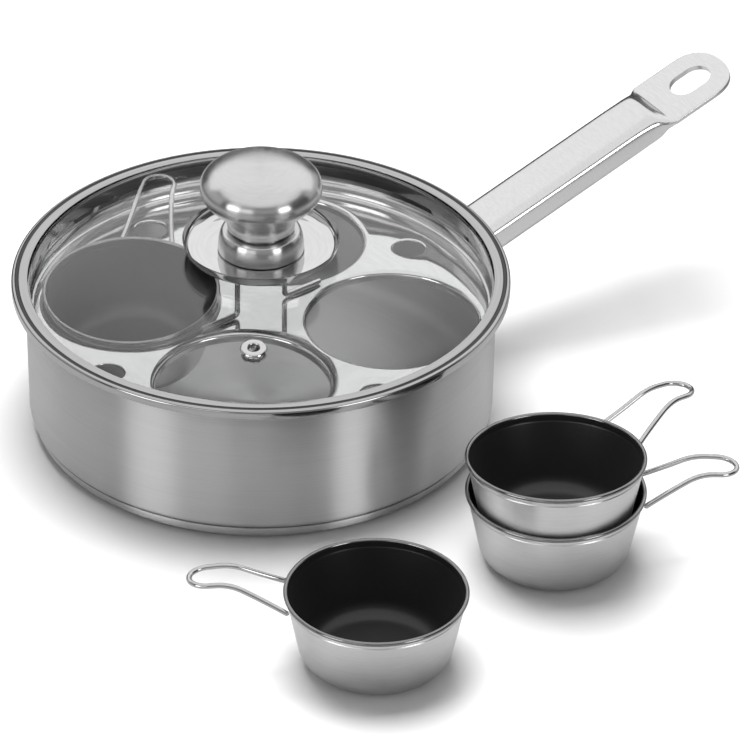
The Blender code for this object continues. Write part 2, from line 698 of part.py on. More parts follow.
def pan_handle(surface):
    crease = HANDLE_LENGTH - TAB_LENGTH
    closing = crease - HANDLE_CLOSING_LENGTH
    half_width, half_depth = HANDLE_WIDTH / 2, HANDLE_DEPTH / 2
    tab_half_width, tab_half_depth = TAB_WIDTH / 2, TAB_THICKNESS / 2
    stages = [
        (handle_start, half_width, half_depth, HANDLE_SQUARENESS, 0, tan(HANDLE_SLOPE)),
        (closing, half_width, half_depth, HANDLE_SQUARENESS),
    ]
    for along_share, wide_share, thin_share, squareness in HANDLE_CLOSING_SHARES:
        stages.append((
            closing + HANDLE_CLOSING_LENGTH * along_share,
            half_width + (tab_half_width - half_width) * wide_share,
            half_depth + (tab_half_depth - half_depth) * thin_share,
            squareness,
            TAB_RAISE * thin_share))
    bore = [section(x, wide - HANDLE_SHEET, deep - HANDLE_SHEET, *rest)
            for x, wide, deep, *rest in stages[:HANDLE_BORE_RINGS]]
    stages.append((crease, tab_half_width, tab_half_depth, TAB_SQUARENESS, TAB_RAISE))
    round_centre = HANDLE_LENGTH - TAB_END_REACH
    for step in range(TAB_END_STEPS):
        angle = pi / 2 * step / TAB_END_STEPS
        along = sin(angle) ** (2 / TAB_END_SQUARENESS)
        across = cos(angle) ** (2 / TAB_END_SQUARENESS)
        stages.append((round_centre + TAB_END_REACH * along, tab_half_width * across, tab_half_depth,
                       TAB_SQUARENESS, TAB_RAISE))
    stages.append((HANDLE_LENGTH, tab_half_depth, tab_half_depth, TAB_SQUARENESS, TAB_RAISE))
    skin = [section(*stage) for stage in stages]
    bm = loft(bore[::-1] + skin)
    mesh = bpy.data.meshes.new("pan_handle")
    bm.to_mesh(mesh)
    bm.free()
    piece = place("pan_handle", mesh, surface)
    piece.matrix_world = handle_matrix()
    hole = bmesh.new()
    hole_end = HANGING_HOLE_WIDTH / 2
    bmesh.ops.create_cone(
        hole, cap_ends=True, segments=SIDES_SMALL, radius1=hole_end, radius2=hole_end,
        depth=2 * (TAB_THICKNESS + OVERRUN), matrix=Matrix.Rotation(pi / SIDES_SMALL, 4, "Z"))
    for vert in hole.verts:
        vert.co.x += copysign((HANGING_HOLE_LENGTH - HANGING_HOLE_WIDTH) / 2, vert.co.x)
    spot = Matrix.Translation((HANDLE_LENGTH - HANGING_HOLE_INSET, 0, TAB_RAISE))
    boolean(piece, cutter("hanging_hole", hole, handle_matrix() @ spot), "DIFFERENCE")
    return piece


def handle_bracket(surface):
    # A pad that follows the wall, with a tongue that fills the start of the handle's tube
    bm = bmesh.new()
    depth = BRACKET_PAD_THICKNESS + OVERRUN
    bmesh.ops.create_cube(bm, size=1)
    bmesh.ops.scale(bm, vec=(depth, BRACKET_PAD_WIDTH, BRACKET_PAD_HEIGHT), verts=bm.verts)
    mesh = bpy.data.meshes.new("handle_bracket")
    bm.to_mesh(mesh)
    bm.free()
    piece = place("handle_bracket", mesh, surface)
    middle = pan_outer_radius + GAP + BRACKET_PAD_THICKNESS - depth / 2
    spot = Matrix.Translation((middle, 0, PAN_HEIGHT - HANDLE_DROP))
    piece.matrix_world = Matrix.Rotation(HANDLE_AZIMUTH, 4, "Z") @ spot
    half_width = HANDLE_WIDTH / 2 - HANDLE_SHEET - GAP
    half_depth = HANDLE_DEPTH / 2 - HANDLE_SHEET - GAP
    ends = (BRACKET_PAD_THICKNESS / 2, handle_start + BRACKET_TONGUE_LENGTH)
    tongue = loft([section(x, half_width, half_depth, HANDLE_SQUARENESS) for x in ends])
    boolean(piece, cutter("bracket_tongue", tongue, handle_matrix()), "UNION")
    wall = bmesh.new()
    bmesh.ops.create_cone(
        wall, cap_ends=True, segments=SIDES_LARGE, radius1=pan_wall_radius(0) + GAP,
        radius2=pan_wall_radius(PAN_HEIGHT) + GAP, depth=PAN_HEIGHT)
    boolean(piece, cutter("bracket_seat", wall, Matrix.Translation((0, 0, PAN_HEIGHT / 2))), "DIFFERENCE")
    return piece


def settle(piece):
    # Keeps the evaluated shape as the piece's own mesh, shaded smooth with its hard edges sharp
    evaluated = piece.evaluated_get(bpy.context.evaluated_depsgraph_get())
    mesh = bpy.data.meshes.new_from_object(evaluated)
    bm = bmesh.new()
    bm.from_mesh(mesh)
    bmesh.ops.remove_doubles(bm, verts=bm.verts[:], dist=MERGE)
    bm.to_mesh(mesh)
    bm.free()
    mesh.shade_smooth()
    mesh.set_sharp_from_angle(angle=SMOOTH_ANGLE)
    solid = bpy.data.objects.new(piece.name, mesh)
    solid.parent = piece.parent
    name, matrix = piece.name, piece.matrix_local.copy()
    bpy.data.objects.remove(piece)
    solid.name = name
    mesh.name = name
    solid.matrix_local = matrix
    parts.objects.link(solid)


bright_steel = look("bright_steel", (0.78, 0.78, 0.78), 0.12, 1)
brushed_steel = look("brushed_steel", (0.66, 0.66, 0.67), 0.3, 1)
mirror_steel = look("mirror_steel", (0.82, 0.82, 0.82), 0.05, 1)
cup_steel = look("cup_steel", (0.62, 0.62, 0.63), 0.32, 1)
wire_steel = look("wire_steel", (0.7, 0.7, 0.71), 0.2, 1)
core_aluminium = look("core_aluminium", (0.75, 0.76, 0.77), 0.45, 1)
clear_glass = look("clear_glass", (0.86, 0.9, 0.9), 0.03, 0)
grey_rubber = look("grey_rubber", (0.25, 0.25, 0.26), 0.7, 0)

pan_shell(brushed_steel)
base_cover(brushed_steel)
base_core(core_aluminium)
handle_bracket(brushed_steel)
pan_handle(bright_steel)

tray = group("tray")
tray_plate(mirror_steel, tray)
lift_arch(wire_steel, tray)

cup("a", (*hung_cup_place(), tray_top + CUP_A_LIFT), CUP_A_TILT, CUP_A_GRIP_AZIMUTH, cup_steel, wire_steel)
cup_edge = band_radius + CUP_TOP_RADIUS + CUP_BEAD_RADIUS
front = cup_edge + CUP_B_STAND_OFF
cup("b", (front * cos(CUP_B_AZIMUTH), front * sin(CUP_B_AZIMUTH), CUP_HEIGHT), 0, CUP_B_GRIP_AZIMUTH,
    cup_steel, wire_steel)
stack = cup_edge + CUP_C_STAND_OFF
stack_x = stack * cos(CUP_C_AZIMUTH)
stack_y = stack * sin(CUP_C_AZIMUTH)
cup("c", (stack_x, stack_y, CUP_HEIGHT), 0, CUP_C_GRIP_AZIMUTH, cup_steel, wire_steel)
cup("d", (stack_x - CUP_D_SHIFT_LEFT, stack_y - CUP_D_SHIFT_FORWARD, CUP_HEIGHT + CUP_D_LIFT), CUP_D_TILT,
    CUP_D_GRIP_AZIMUTH, cup_steel, wire_steel)

lid = group("lid")
lid_glass(clear_glass, lid)
lid_band(bright_steel, lid)
vent_eyelet(bright_steel, lid)
knob_dish(mirror_steel, lid)
knob_collar(bright_steel, lid)
knob_head(bright_steel, lid)
knob_screw(wire_steel, lid)
washer("knob_washer", screw_hole_radius, WASHER_RADIUS, washer_top - WASHER_SHEET, washer_top,
       SIDES_SMALL, wire_steel, lid)
washer("gasket_lower", screw_hole_radius, GASKET_RADIUS, gasket_lower_top - GASKET_LOWER_SHEET,
       gasket_lower_top, SIDES_SMALL, grey_rubber, lid)
washer("gasket_upper", screw_hole_radius, GASKET_RADIUS, gasket_upper_bottom,
       gasket_upper_bottom + GASKET_UPPER_SHEET, SIDES_SMALL, grey_rubber, lid)

bpy.context.view_layer.update()
for piece in [item for item in parts.objects if item.type != "EMPTY"]:
    settle(piece)
for tool in list(cutters.objects):
    bpy.data.objects.remove(tool)
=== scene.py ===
from math import atan, atan2, copysign, cos, pi, radians, sin, sqrt, tan

import bmesh
import bpy
from mathutils import Matrix, Vector


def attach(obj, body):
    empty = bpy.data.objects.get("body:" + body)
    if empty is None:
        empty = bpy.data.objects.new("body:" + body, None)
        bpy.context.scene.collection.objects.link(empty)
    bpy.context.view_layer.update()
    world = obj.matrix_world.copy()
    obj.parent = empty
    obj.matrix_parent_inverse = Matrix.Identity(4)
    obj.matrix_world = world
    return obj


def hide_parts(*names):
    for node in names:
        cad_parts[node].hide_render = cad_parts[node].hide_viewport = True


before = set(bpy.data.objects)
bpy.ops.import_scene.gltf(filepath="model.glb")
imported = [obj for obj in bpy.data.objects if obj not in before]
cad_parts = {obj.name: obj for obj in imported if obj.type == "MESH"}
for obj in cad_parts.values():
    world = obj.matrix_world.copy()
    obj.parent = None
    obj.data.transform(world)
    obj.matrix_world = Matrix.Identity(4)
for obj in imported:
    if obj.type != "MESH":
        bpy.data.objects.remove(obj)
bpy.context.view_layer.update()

# lengths in metres, angles in degrees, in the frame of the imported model

shading = {
    "weldDistance": 0.000004,
    "sharpAngle": 32,
    "largeSteps": 160,
    "cupSteps": 112,
    "smallSteps": 64,
    "cutDepth": 0.02,
}

camera = {
    "place": (0, -2.259863, 1.487527),
    "pitch": 33.0123,
    "yaw": 1.24903,
    "roll": 0.62673,
    "lens": 298.87,
    "sensor": 36,
}


def addCamera():
    data = bpy.data.cameras.new("studioCamera")
    data.lens = camera["lens"]
    data.sensor_width = camera["sensor"]
    data.clip_end = 20
    rig = bpy.data.objects.new("studioCamera", data)
    rig.matrix_world = (
        Matrix.Translation(camera["place"])
        @ Matrix.Rotation(-radians(camera["yaw"]), 4, "Z")
        @ Matrix.Rotation(radians(90 - camera["pitch"]), 4, "X")
        @ Matrix.Rotation(radians(camera["roll"]), 4, "Z"))
    bpy.context.scene.collection.objects.link(rig)
    bpy.context.scene.camera = rig


addCamera()
print("camera set")


def put(tree, kind, settings=None, **inputs):
    # adds a node; an input is given by its name with _ for a space, or as i0, i1 for its place
    node = tree.nodes.new("ShaderNode" + kind)
    for key, value in (settings or {}).items():
        setattr(node, key, value)
    for key, value in inputs.items():
        place = int(key[1:]) if key[0] == "i" and key[1:].isdigit() else key.replace("_", " ")
        if isinstance(value, bpy.types.NodeSocket):
            tree.links.new(value, node.inputs[place])
        else:
            node.inputs[place].default_value = value
    return node


def calc(tree, operation, first, second=0.0, clamp=False):
    return put(tree, "Math", {"operation": operation, "use_clamp": clamp}, i0=first, i1=second).outputs[0]


def vectorCalc(tree, operation, first, second=(0, 0, 0)):
    return put(tree, "VectorMath", {"operation": operation}, i0=first, i1=second).outputs[0]


def ramp(tree, value, stops, easing="LINEAR"):
    node = put(tree, "ValToRGB", None, Fac=value)
    node.color_ramp.interpolation = easing
    points = node.color_ramp.elements
    while len(points) > 1:
        points.remove(points[-1])
    points[0].position = stops[0][0]
    points[0].color = (*[stops[0][1]] * 3, 1)
    for place, level in stops[1:]:
        points.new(place).color = (*[level] * 3, 1)
    return node.outputs["Color"]


def shaderGroup(name, inputs, outputs):
    tree = bpy.data.node_groups.new(name, "ShaderNodeTree")
    for label, kind, value in inputs:
        socket = tree.interface.new_socket(label, in_out="INPUT", socket_type=kind)
        if value is not None:
            socket.default_value = value
    for label, kind in outputs:
        tree.interface.new_socket(label, in_out="OUTPUT", socket_type=kind)
    return tree, tree.nodes.new("NodeGroupInput"), tree.nodes.new("NodeGroupOutput")


grainShape = {
    "axisRadius": 0.0001, "detail": 3.0, "roughness": 0.65, "depth": 0.0001,
    "bandSpread": 1.5, "bandFineness": 0.08, "bandDetail": 2.0,
    # the parts of the noise that the finish's limits are spread over
    "lines": (0.3, 0.7), "bands": (0.25, 0.75),
}
handlingShape = {
    "warp": 0.02, "warpDetail": 2.0, "detail": 5.0, "roughness": 0.6, "smears": (0.42, 0.72),
    "speckScale": 60.0, "specks": (0.66, 0.74),
}


def makeTurnedGrain():
    # fine lines round an axis, as a lathe or a belt leaves them: quick across, slow along
    tree, enter, leave = shaderGroup(
        "turnedGrain",
        [("Vector", "NodeSocketVector", None), ("Fineness", "NodeSocketFloat", 1500.0),
         ("Length", "NodeSocketFloat", 2.0)],
        [("Lines", "NodeSocketFloat"), ("Bands", "NodeSocketFloat")])
    split = put(tree, "SeparateXYZ", None, Vector=enter.outputs["Vector"])
    x, y, z = split.outputs
    radius = calc(tree, "SQRT", calc(tree, "ADD", calc(tree, "MULTIPLY", x, x), calc(tree, "MULTIPLY", y, y)))
    safe = calc(tree, "MAXIMUM", radius, grainShape["axisRadius"])
    around = enter.outputs["Length"]
    across = enter.outputs["Fineness"]
    place = put(
        tree, "CombineXYZ", None,
        X=calc(tree, "MULTIPLY", calc(tree, "DIVIDE", x, safe), around),
        Y=calc(tree, "MULTIPLY", calc(tree, "DIVIDE", y, safe), around),
        Z=calc(tree, "MULTIPLY", radius, across))
    lines = put(
        tree, "TexNoise", {"noise_dimensions": "4D"}, Vector=place.outputs[0],
        W=calc(tree, "MULTIPLY", z, across), Scale=1.0, Detail=grainShape["detail"],
        Roughness=grainShape["roughness"])
    spread, fineness = grainShape["bandSpread"], grainShape["bandFineness"]
    coarse = put(
        tree, "TexNoise", {"noise_dimensions": "4D"},
        Vector=vectorCalc(tree, "MULTIPLY", place.outputs[0], (spread, spread, fineness)),
        W=calc(tree, "MULTIPLY", z, calc(tree, "MULTIPLY", across, fineness)), Scale=1.0,
        Detail=grainShape["bandDetail"])
    tree.links.new(lines.outputs["Fac"], leave.inputs["Lines"])
    tree.links.new(coarse.outputs["Fac"], leave.inputs["Bands"])
    return tree


def makeHandling():
    # faint smears, and specks of dust
    tree, enter, leave = shaderGroup(
        "handlingMarks",
        [("Vector", "NodeSocketVector", None), ("Scale", "NodeSocketFloat", 30.0)],
        [("Smears", "NodeSocketFloat"), ("Specks", "NodeSocketFloat")])
    vector = enter.outputs["Vector"]
    scale = enter.outputs["Scale"]
    warp = put(tree, "TexNoise", None, Vector=vector, Scale=scale, Detail=handlingShape["warpDetail"])
    shift = vectorCalc(tree, "MULTIPLY", warp.outputs["Color"], [handlingShape["warp"]] * 3)
    smear = put(
        tree, "TexNoise", None, Vector=vectorCalc(tree, "ADD", vector, shift), Scale=scale,
        Detail=handlingShape["detail"], Roughness=handlingShape["roughness"])
    low, high = handlingShape["smears"]
    level = put(tree, "MapRange", None, Value=smear.outputs["Fac"], From_Min=low, From_Max=high)
    fine = calc(tree, "MULTIPLY", scale, handlingShape["speckScale"])
    specks = put(tree, "TexNoise", None, Vector=vector, Scale=fine, Detail=1.0)
    low, high = handlingShape["specks"]
    dots = put(tree, "MapRange", None, Value=specks.outputs["Fac"], From_Min=low, From_Max=high)
    tree.links.new(level.outputs[0], leave.inputs["Smears"])
    tree.links.new(dots.outputs[0], leave.inputs["Specks"])
    return tree


turnedGrain = makeTurnedGrain()
handlingMarks = makeHandling()


def useGroup(tree, made, **inputs):
    node = put(tree, "Group", {"node_tree": made}, **inputs)
    return node.outputs


def objectPlace(tree, centre=(0, 0, 0), tilt=(0, 0, 0)):
    # object coordinates seen from the middle of the piece, so that a pattern runs round it
    coordinates = put(tree, "TexCoord").outputs["Object"]
    shifted = vectorCalc(tree, "SUBTRACT", coordinates, centre)
    return put(tree, "Mapping", {"vector_type": "POINT"}, Vector=shifted, Rotation=tilt).outputs[0]


def newMaterial(name):
    made = bpy.data.materials.new(name)
    made.use_nodes = True
    return made, made.node_tree, made.node_tree.nodes["Principled BSDF"]


def steel(name, look, centre=(0, 0, 0), tilt=(0, 0, 0)):
    made, tree, shader = newMaterial(name)
    place = objectPlace(tree, centre, tilt)
    grain = useGroup(tree, turnedGrain, Vector=place, Fineness=look["fineness"], Length=look["length"])
    marks = useGroup(tree, handlingMarks, Vector=place, Scale=look["smearScale"])
    low, high = look["roughness"]
    first, last = grainShape["bands"]
    rough = put(
        tree, "MapRange", None, Value=grain["Bands"], From_Min=first, From_Max=last, To_Min=low, To_Max=high)
    smeared = calc(tree, "ADD", rough.outputs[0], calc(tree, "MULTIPLY", marks["Smears"], look["smear"]))
    tree.links.new(smeared, shader.inputs["Roughness"])
    tint = ramp(tree, grain["Lines"], list(zip(grainShape["lines"], look["tone"])))
    tree.links.new(tint, shader.inputs["Base Color"])
    shader.inputs["Metallic"].default_value = 1
    bump = put(
        tree, "Bump", None, Strength=look["bump"], Distance=grainShape["depth"], Height=grain["Lines"])
    tree.links.new(bump.outputs[0], shader.inputs["Normal"])
    if look["stretch"]:
        shader.inputs["Anisotropic"].default_value = look["stretch"]
        shader.inputs["Anisotropic Rotation"].default_value = 0.25
        split = put(tree, "SeparateXYZ", None, Vector=place)
        around = put(
            tree, "CombineXYZ", None,
            X=calc(tree, "MULTIPLY", split.outputs["Y"], -1.0), Y=split.outputs["X"])
        tree.links.new(around.outputs[0], shader.inputs["Tangent"])
    return made


finishes = {
    "wall": {"tone": (0.58, 0.64), "roughness": (0.38, 0.44), "stretch": 1.0, "bump": 0.06,
             "fineness": 3200.0, "length": 2.0, "smear": 0.02, "smearScale": 18.0},
    "bright": {"tone": (0.58, 0.64), "roughness": (0.07, 0.11), "stretch": 0.0, "bump": 0.02,
               "fineness": 900.0, "length": 2.0, "smear": 0.03, "smearScale": 25.0},
    # the lid band's steel: the bright steel painted darker, as painted shade
    "ring": {"tone": (0.42, 0.48), "roughness": (0.08, 0.13), "stretch": 0.0, "bump": 0.02,
             "fineness": 900.0, "length": 2.0, "smear": 0.03, "smearScale": 25.0},
    # painted shade: a near black steel laid in the lid band's groove
    "groove": {"tone": (0.05, 0.08), "roughness": (0.15, 0.25), "stretch": 0.0, "bump": 0.05,
               "fineness": 1500.0, "length": 2.0, "smear": 0.05, "smearScale": 40.0},
    "mirror": {"tone": (0.64, 0.70), "roughness": (0.03, 0.06), "stretch": 0.0, "bump": 0.004,
               "fineness": 700.0, "length": 2.0, "smear": 0.02, "smearScale": 20.0},
    "knob": {"tone": (0.60, 0.66), "roughness": (0.2, 0.26), "stretch": 0.85, "bump": 0.05,
             "fineness": 3000.0, "length": 3.0, "smear": 0.02, "smearScale": 50.0},
    "cup": {"tone": (0.72, 0.8), "roughness": (0.3, 0.36), "stretch": 0.6, "bump": 0.12,
            "fineness": 2500.0, "length": 2.5, "smear": 0.04, "smearScale": 40.0},
    "wire": {"tone": (0.52, 0.62), "roughness": (0.05, 0.1), "stretch": 0.0, "bump": 0.03,
             "fineness": 900.0, "length": 4.0, "smear": 0.03, "smearScale": 60.0},
    "arch": {"tone": (0.76, 0.84), "roughness": (0.22, 0.3), "stretch": 0.0, "bump": 0.03,
             "fineness": 900.0, "length": 4.0, "smear": 0.03, "smearScale": 60.0},
    # painted dark reflection: a dark copy of the steel for the outside of the cups' beads
    "rim": {"tone": (0.24, 0.3), "roughness": (0.08, 0.14), "stretch": 0.0, "bump": 0.03,
            "fineness": 1500.0, "length": 2.5, "smear": 0.03, "smearScale": 60.0},
    "handle": {"tone": (0.66, 0.72), "roughness": (0.16, 0.2), "stretch": 0.0, "bump": 0.03,
               "fineness": 1200.0, "length": 40.0, "smear": 0.03, "smearScale": 25.0},
    "core": {"tone": (0.62, 0.7), "roughness": (0.4, 0.5), "stretch": 0.0, "bump": 0.2,
             "fineness": 600.0, "length": 6.0, "smear": 0.05, "smearScale": 30.0},
}

coatingLook = {"tone": (0.012, 0.02), "roughness": (0.3, 0.38), "speckle": 0.05, "bump": 0.05}
rubberLook = {"tone": (0.05, 0.09), "roughness": (0.6, 0.75), "speckle": 0.1, "bump": 0.2}
coatingGrain = {
    "fineness": 3500.0, "depth": 0.00005, "tones": (0.35, 0.65),
    "smearScale": 45.0, "dust": (0.3, 0.3, 0.3, 1),
}
glassLook = {
    "tint": (0.985, 0.99, 0.99, 1), "clearness": 1.0, "index": 1.45, "passing": (0.9, 0.91, 0.91, 1),
    "roughness": 0.0, "smear": 0.015, "smearScale": 22.0,
}


def coating(name, look, centre=(0, 0, 0)):
    made, tree, shader = newMaterial(name)
    place = objectPlace(tree, centre)
    marks = useGroup(tree, handlingMarks, Vector=place, Scale=coatingGrain["smearScale"])
    fine = put(tree, "TexNoise", None, Vector=place, Scale=coatingGrain["fineness"], Detail=2.0)
    low, high = look["roughness"]
    rough = put(tree, "MapRange", None, Value=marks["Smears"], To_Min=low, To_Max=high)
    tree.links.new(rough.outputs[0], shader.inputs["Roughness"])
    base = ramp(tree, fine.outputs["Fac"], list(zip(coatingGrain["tones"], look["tone"])))
    dusty = calc(tree, "MULTIPLY", marks["Specks"], look["speckle"])
    lifted = put(tree, "Mix", {"data_type": "RGBA"}, Factor=dusty, i6=base, i7=coatingGrain["dust"])
    tree.links.new(lifted.outputs[2], shader.inputs["Base Color"])
    bump = put(
        tree, "Bump", None, Strength=look["bump"], Distance=coatingGrain["depth"], Height=fine.outputs["Fac"])
    tree.links.new(bump.outputs[0], shader.inputs["Normal"])
    return made


def glass(name, look):
    made, tree, shader = newMaterial(name)
    place = objectPlace(tree)
    marks = useGroup(tree, handlingMarks, Vector=place, Scale=look["smearScale"])
    shader.inputs["Base Color"].default_value = look["tint"]
    shader.inputs["Transmission Weight"].default_value = look["clearness"]
    shader.inputs["IOR"].default_value = look["index"]
    low = look["roughness"]
    rough = put(tree, "MapRange", None, Value=marks["Smears"], To_Min=low, To_Max=low + look["smear"])
    tree.links.new(rough.outputs[0], shader.inputs["Roughness"])
    # lamps light what is under the lid straight through the glass
    passing = put(tree, "BsdfTransparent", None, Color=look["passing"])
    shadow = put(tree, "LightPath").outputs["Is Shadow Ray"]
    both = put(tree, "MixShader", None, i0=shadow, i1=shader.outputs[0], i2=passing.outputs[0])
    tree.links.new(both.outputs[0], tree.nodes["Material Output"].inputs["Surface"])
    return made


wallSteel = steel("wallSteel", finishes["wall"])
brightSteel = steel("brightSteel", finishes["bright"])
ringSteel = steel("ringSteel", finishes["ring"])
paintedGrooveShade = steel("paintedGrooveShade", finishes["groove"])
mirrorSteel = steel("mirrorSteel", finishes["mirror"])
knobSteel = steel("knobSteel", finishes["knob"])
wireSteel = steel("wireSteel", finishes["wire"])
archSteel = steel("archSteel", finishes["arch"])
handleSteel = steel("handleSteel", finishes["handle"])
paintedDarkRimSteel = steel("paintedDarkRimSteel", finishes["rim"])
coreAluminium = steel("coreAluminium", finishes["core"])
gasketRubber = coating("gasketRubber", rubberLook)
lidGlassLook = glass("lidGlass", glassLook)
print("materials made")


def addPiece(name, mesh, materials, slot, body, *replaced):
    mesh.name = name
    for made in materials:
        mesh.materials.append(made)
    mesh.shade_smooth()
    mesh.set_sharp_from_angle(angle=radians(shading["sharpAngle"]))
    piece = bpy.data.objects.new(name, mesh)
    bpy.context.scene.collection.objects.link(piece)
    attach(piece, body)
    if replaced:
        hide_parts(*replaced)
    return piece


def meshFrom(bm, matrix=None):
    if matrix is not None:
        bmesh.ops.transform(bm, matrix=matrix, verts=bm.verts[:])
    mesh = bpy.data.meshes.new("made")
    bm.to_mesh(mesh)
    bm.free()
    return mesh


def finishedMesh(data, build=None):
    # the mesh that these curves or meshes become after the modifiers that build adds
    holder = bpy.data.objects.new("holder", data)
    bpy.context.scene.collection.objects.link(holder)
    if build:
        build(holder)
    bpy.context.view_layer.update()
    mesh = bpy.data.meshes.new_from_object(holder.evaluated_get(bpy.context.evaluated_depsgraph_get()))
    bpy.data.objects.remove(holder)
    return mesh


def roundTool(radius, spin=0):
    tool = bmesh.new()
    bmesh.ops.create_cone(tool, cap_ends=True, segments=shading["smallSteps"], radius1=radius, radius2=radius,
                          depth=shading["cutDepth"], matrix=Matrix.Rotation(spin, 4, "Z"))
    return tool


def cutOut(solid, hole):
    # takes one mesh out of another
    tool = bpy.data.objects.new("tool", hole)
    bpy.context.scene.collection.objects.link(tool)

    def cut(holder):
        taken = holder.modifiers.new("cut", "BOOLEAN")
        taken.object = tool
        taken.operation = "DIFFERENCE"

    mesh = finishedMesh(solid, cut)
    bpy.data.objects.remove(tool)
    return mesh


def turn(profile, steps):
    # spins a profile of (radius, height) about Z; it starts and ends on the axis or is a closed ring
    bm = bmesh.new()
    verts = [bm.verts.new((radius, 0, height)) for radius, height in profile]
    edges = [bm.edges.new(pair) for pair in zip(verts, verts[1:])]
    if profile[0][0] > 0:
        edges.append(bm.edges.new((verts[-1], verts[0])))
    bmesh.ops.spin(bm, geom=verts + edges, axis=(0, 0, 1), cent=(0, 0, 0), dvec=(0, 0, 0), angle=2 * pi,
                   steps=steps, use_merge=True)
    bmesh.ops.remove_doubles(bm, verts=bm.verts[:], dist=shading["weldDistance"])
    bmesh.ops.recalc_face_normals(bm, faces=bm.faces[:])
    return bm


def softenRing(bm, radius, height, size, segments=6):
    # rounds one turned corner
    near = 0.00002

    def onRing(vert):
        return abs(vert.co.z - height) < near and abs(vert.co.xy.length - radius) < near

    ring = [edge for edge in bm.edges if all(onRing(vert) for vert in edge.verts)]
    bmesh.ops.bevel(bm, geom=ring, offset=size, offset_type="OFFSET", segments=segments, profile=0.5,
                    affect="EDGES", material=-1, clamp_overlap=False)


def turnCorners(corners, steps):
    # corners are (radius, height, rounding)
    bm = turn([corner[:2] for corner in corners], steps)
    count = len(corners)
    for index, (radius, height, size) in enumerate(corners):
        if size:
            here = Vector((radius, height))
            back = Vector(corners[index - 1][:2]) - here
            ahead = Vector(corners[(index + 1) % count][:2]) - here
            softenRing(bm, radius, height, size / tan(back.angle(ahead) / 2))
    return bm


def arc(x, y, radius, start, sweep, steps):
    return [(x + radius * cos(start + sweep * step / steps), y + radius * sin(start + sweep * step / steps))
            for step in range(steps + 1)]


pan = {
    "height": 0.0649, "sheet": 0.0007, "innerRadius": 0.100385, "lean": 0.8, "lipWidth": 0.0029,
    "underside": 0.0062, "innerCorner": 0.006, "outerCorner": 0.0035, "lipBend": 0.001, "lipDepth": 0.0014,
    "lipRounding": 0.0006, "smallRounding": 0.0003,
    "baseHeight": 0.0059, "baseInset": 0.0016, "baseSheet": 0.0008, "baseBend": 0.0052,
}


def makePan():
    outer = pan["innerRadius"] + pan["sheet"]
    lip = outer + pan["lipWidth"]
    foot = outer - (pan["height"] - pan["underside"]) * tan(radians(pan["lean"]))
    floor = pan["underside"] + pan["sheet"]
    bm = turnCorners([
        (0, floor, 0),
        (foot - pan["sheet"], floor, pan["innerCorner"]),
        (pan["innerRadius"], pan["height"], pan["lipBend"]),
        (lip, pan["height"], pan["lipRounding"]),
        (lip, pan["height"] - pan["lipDepth"], pan["lipRounding"]),
        (outer, pan["height"] - pan["lipDepth"], pan["smallRounding"]),
        (foot, pan["underside"], pan["outerCorner"]),
        (0, pan["underside"], 0),
    ], shading["largeSteps"])
    addPiece("panBody", meshFrom(bm), [wallSteel], "brushed_steel", "pan", "pan_shell")
    edge = foot - pan["baseInset"]
    inner = edge - pan["baseSheet"]
    bm = turnCorners([
        (0, pan["baseSheet"], 0),
        (inner, pan["baseSheet"], pan["baseBend"] - pan["baseSheet"]),
        (inner, pan["baseHeight"], 0),
        (edge, pan["baseHeight"], pan["smallRounding"]),
        (edge, 0, pan["baseBend"]),
        (0, 0, 0),
    ], shading["largeSteps"])
    addPiece("baseCladding", meshFrom(bm), [wallSteel], "brushed_steel", "pan", "base_cover")


makePan()
print("pan made")

tray = {
    "top": 0.05235, "flangeTop": 0.0659, "flatRadius": 0.0972, "innerRadius": 0.0992,
    "flangeRadius": 0.103485, "corner": 0.002, "flangeBend": 0.001, "sheet": 0.0007,
    "holes": 4, "holeAzimuth": -8, "holePitch": 0.05640, "holeRadius": 0.0367, "holeSteps": 96,
    "lipRadius": 0.0392, "lipDepth": 0.004, "flatRing": 0.0006,
    "steamRadius": 0.007, "steamPitch": 0.0805, "steamSteps": 48, "steamBend": 0.0009, "steamDepth": 0.0013,
    "ledgeHeight": 0.0053, "ledgeTall": 0.0016, "ledgeReach": 0.0006, "ledgeSteps": 8,
}


def holeCentre(index):
    azimuth = radians(tray["holeAzimuth"]) + 2 * pi * index / tray["holes"]
    return Vector((tray["holePitch"] * cos(azimuth), tray["holePitch"] * sin(azimuth)))


def drawOn(bm, edges, centre, path):
    # draws an open round edge on through (radius, height) steps about its centre
    for radius, height in path:
        drawn = bmesh.ops.extrude_edge_only(bm, edges=edges)["geom"]
        edges = [item for item in drawn if isinstance(item, bmesh.types.BMEdge) and item.is_boundary]
        for vert in [item for item in drawn if isinstance(item, bmesh.types.BMVert)]:
            outward = (vert.co.xy - centre).normalized()
            vert.co.xy = centre + outward * radius
            vert.co.z = height


def circleEdges(bm, radius, centre, height, steps):
    verts = bmesh.ops.create_circle(bm, segments=steps, radius=radius,
                                    matrix=Matrix.Translation((*centre, height)))["verts"]
    return list({edge for vert in verts for edge in vert.link_edges})


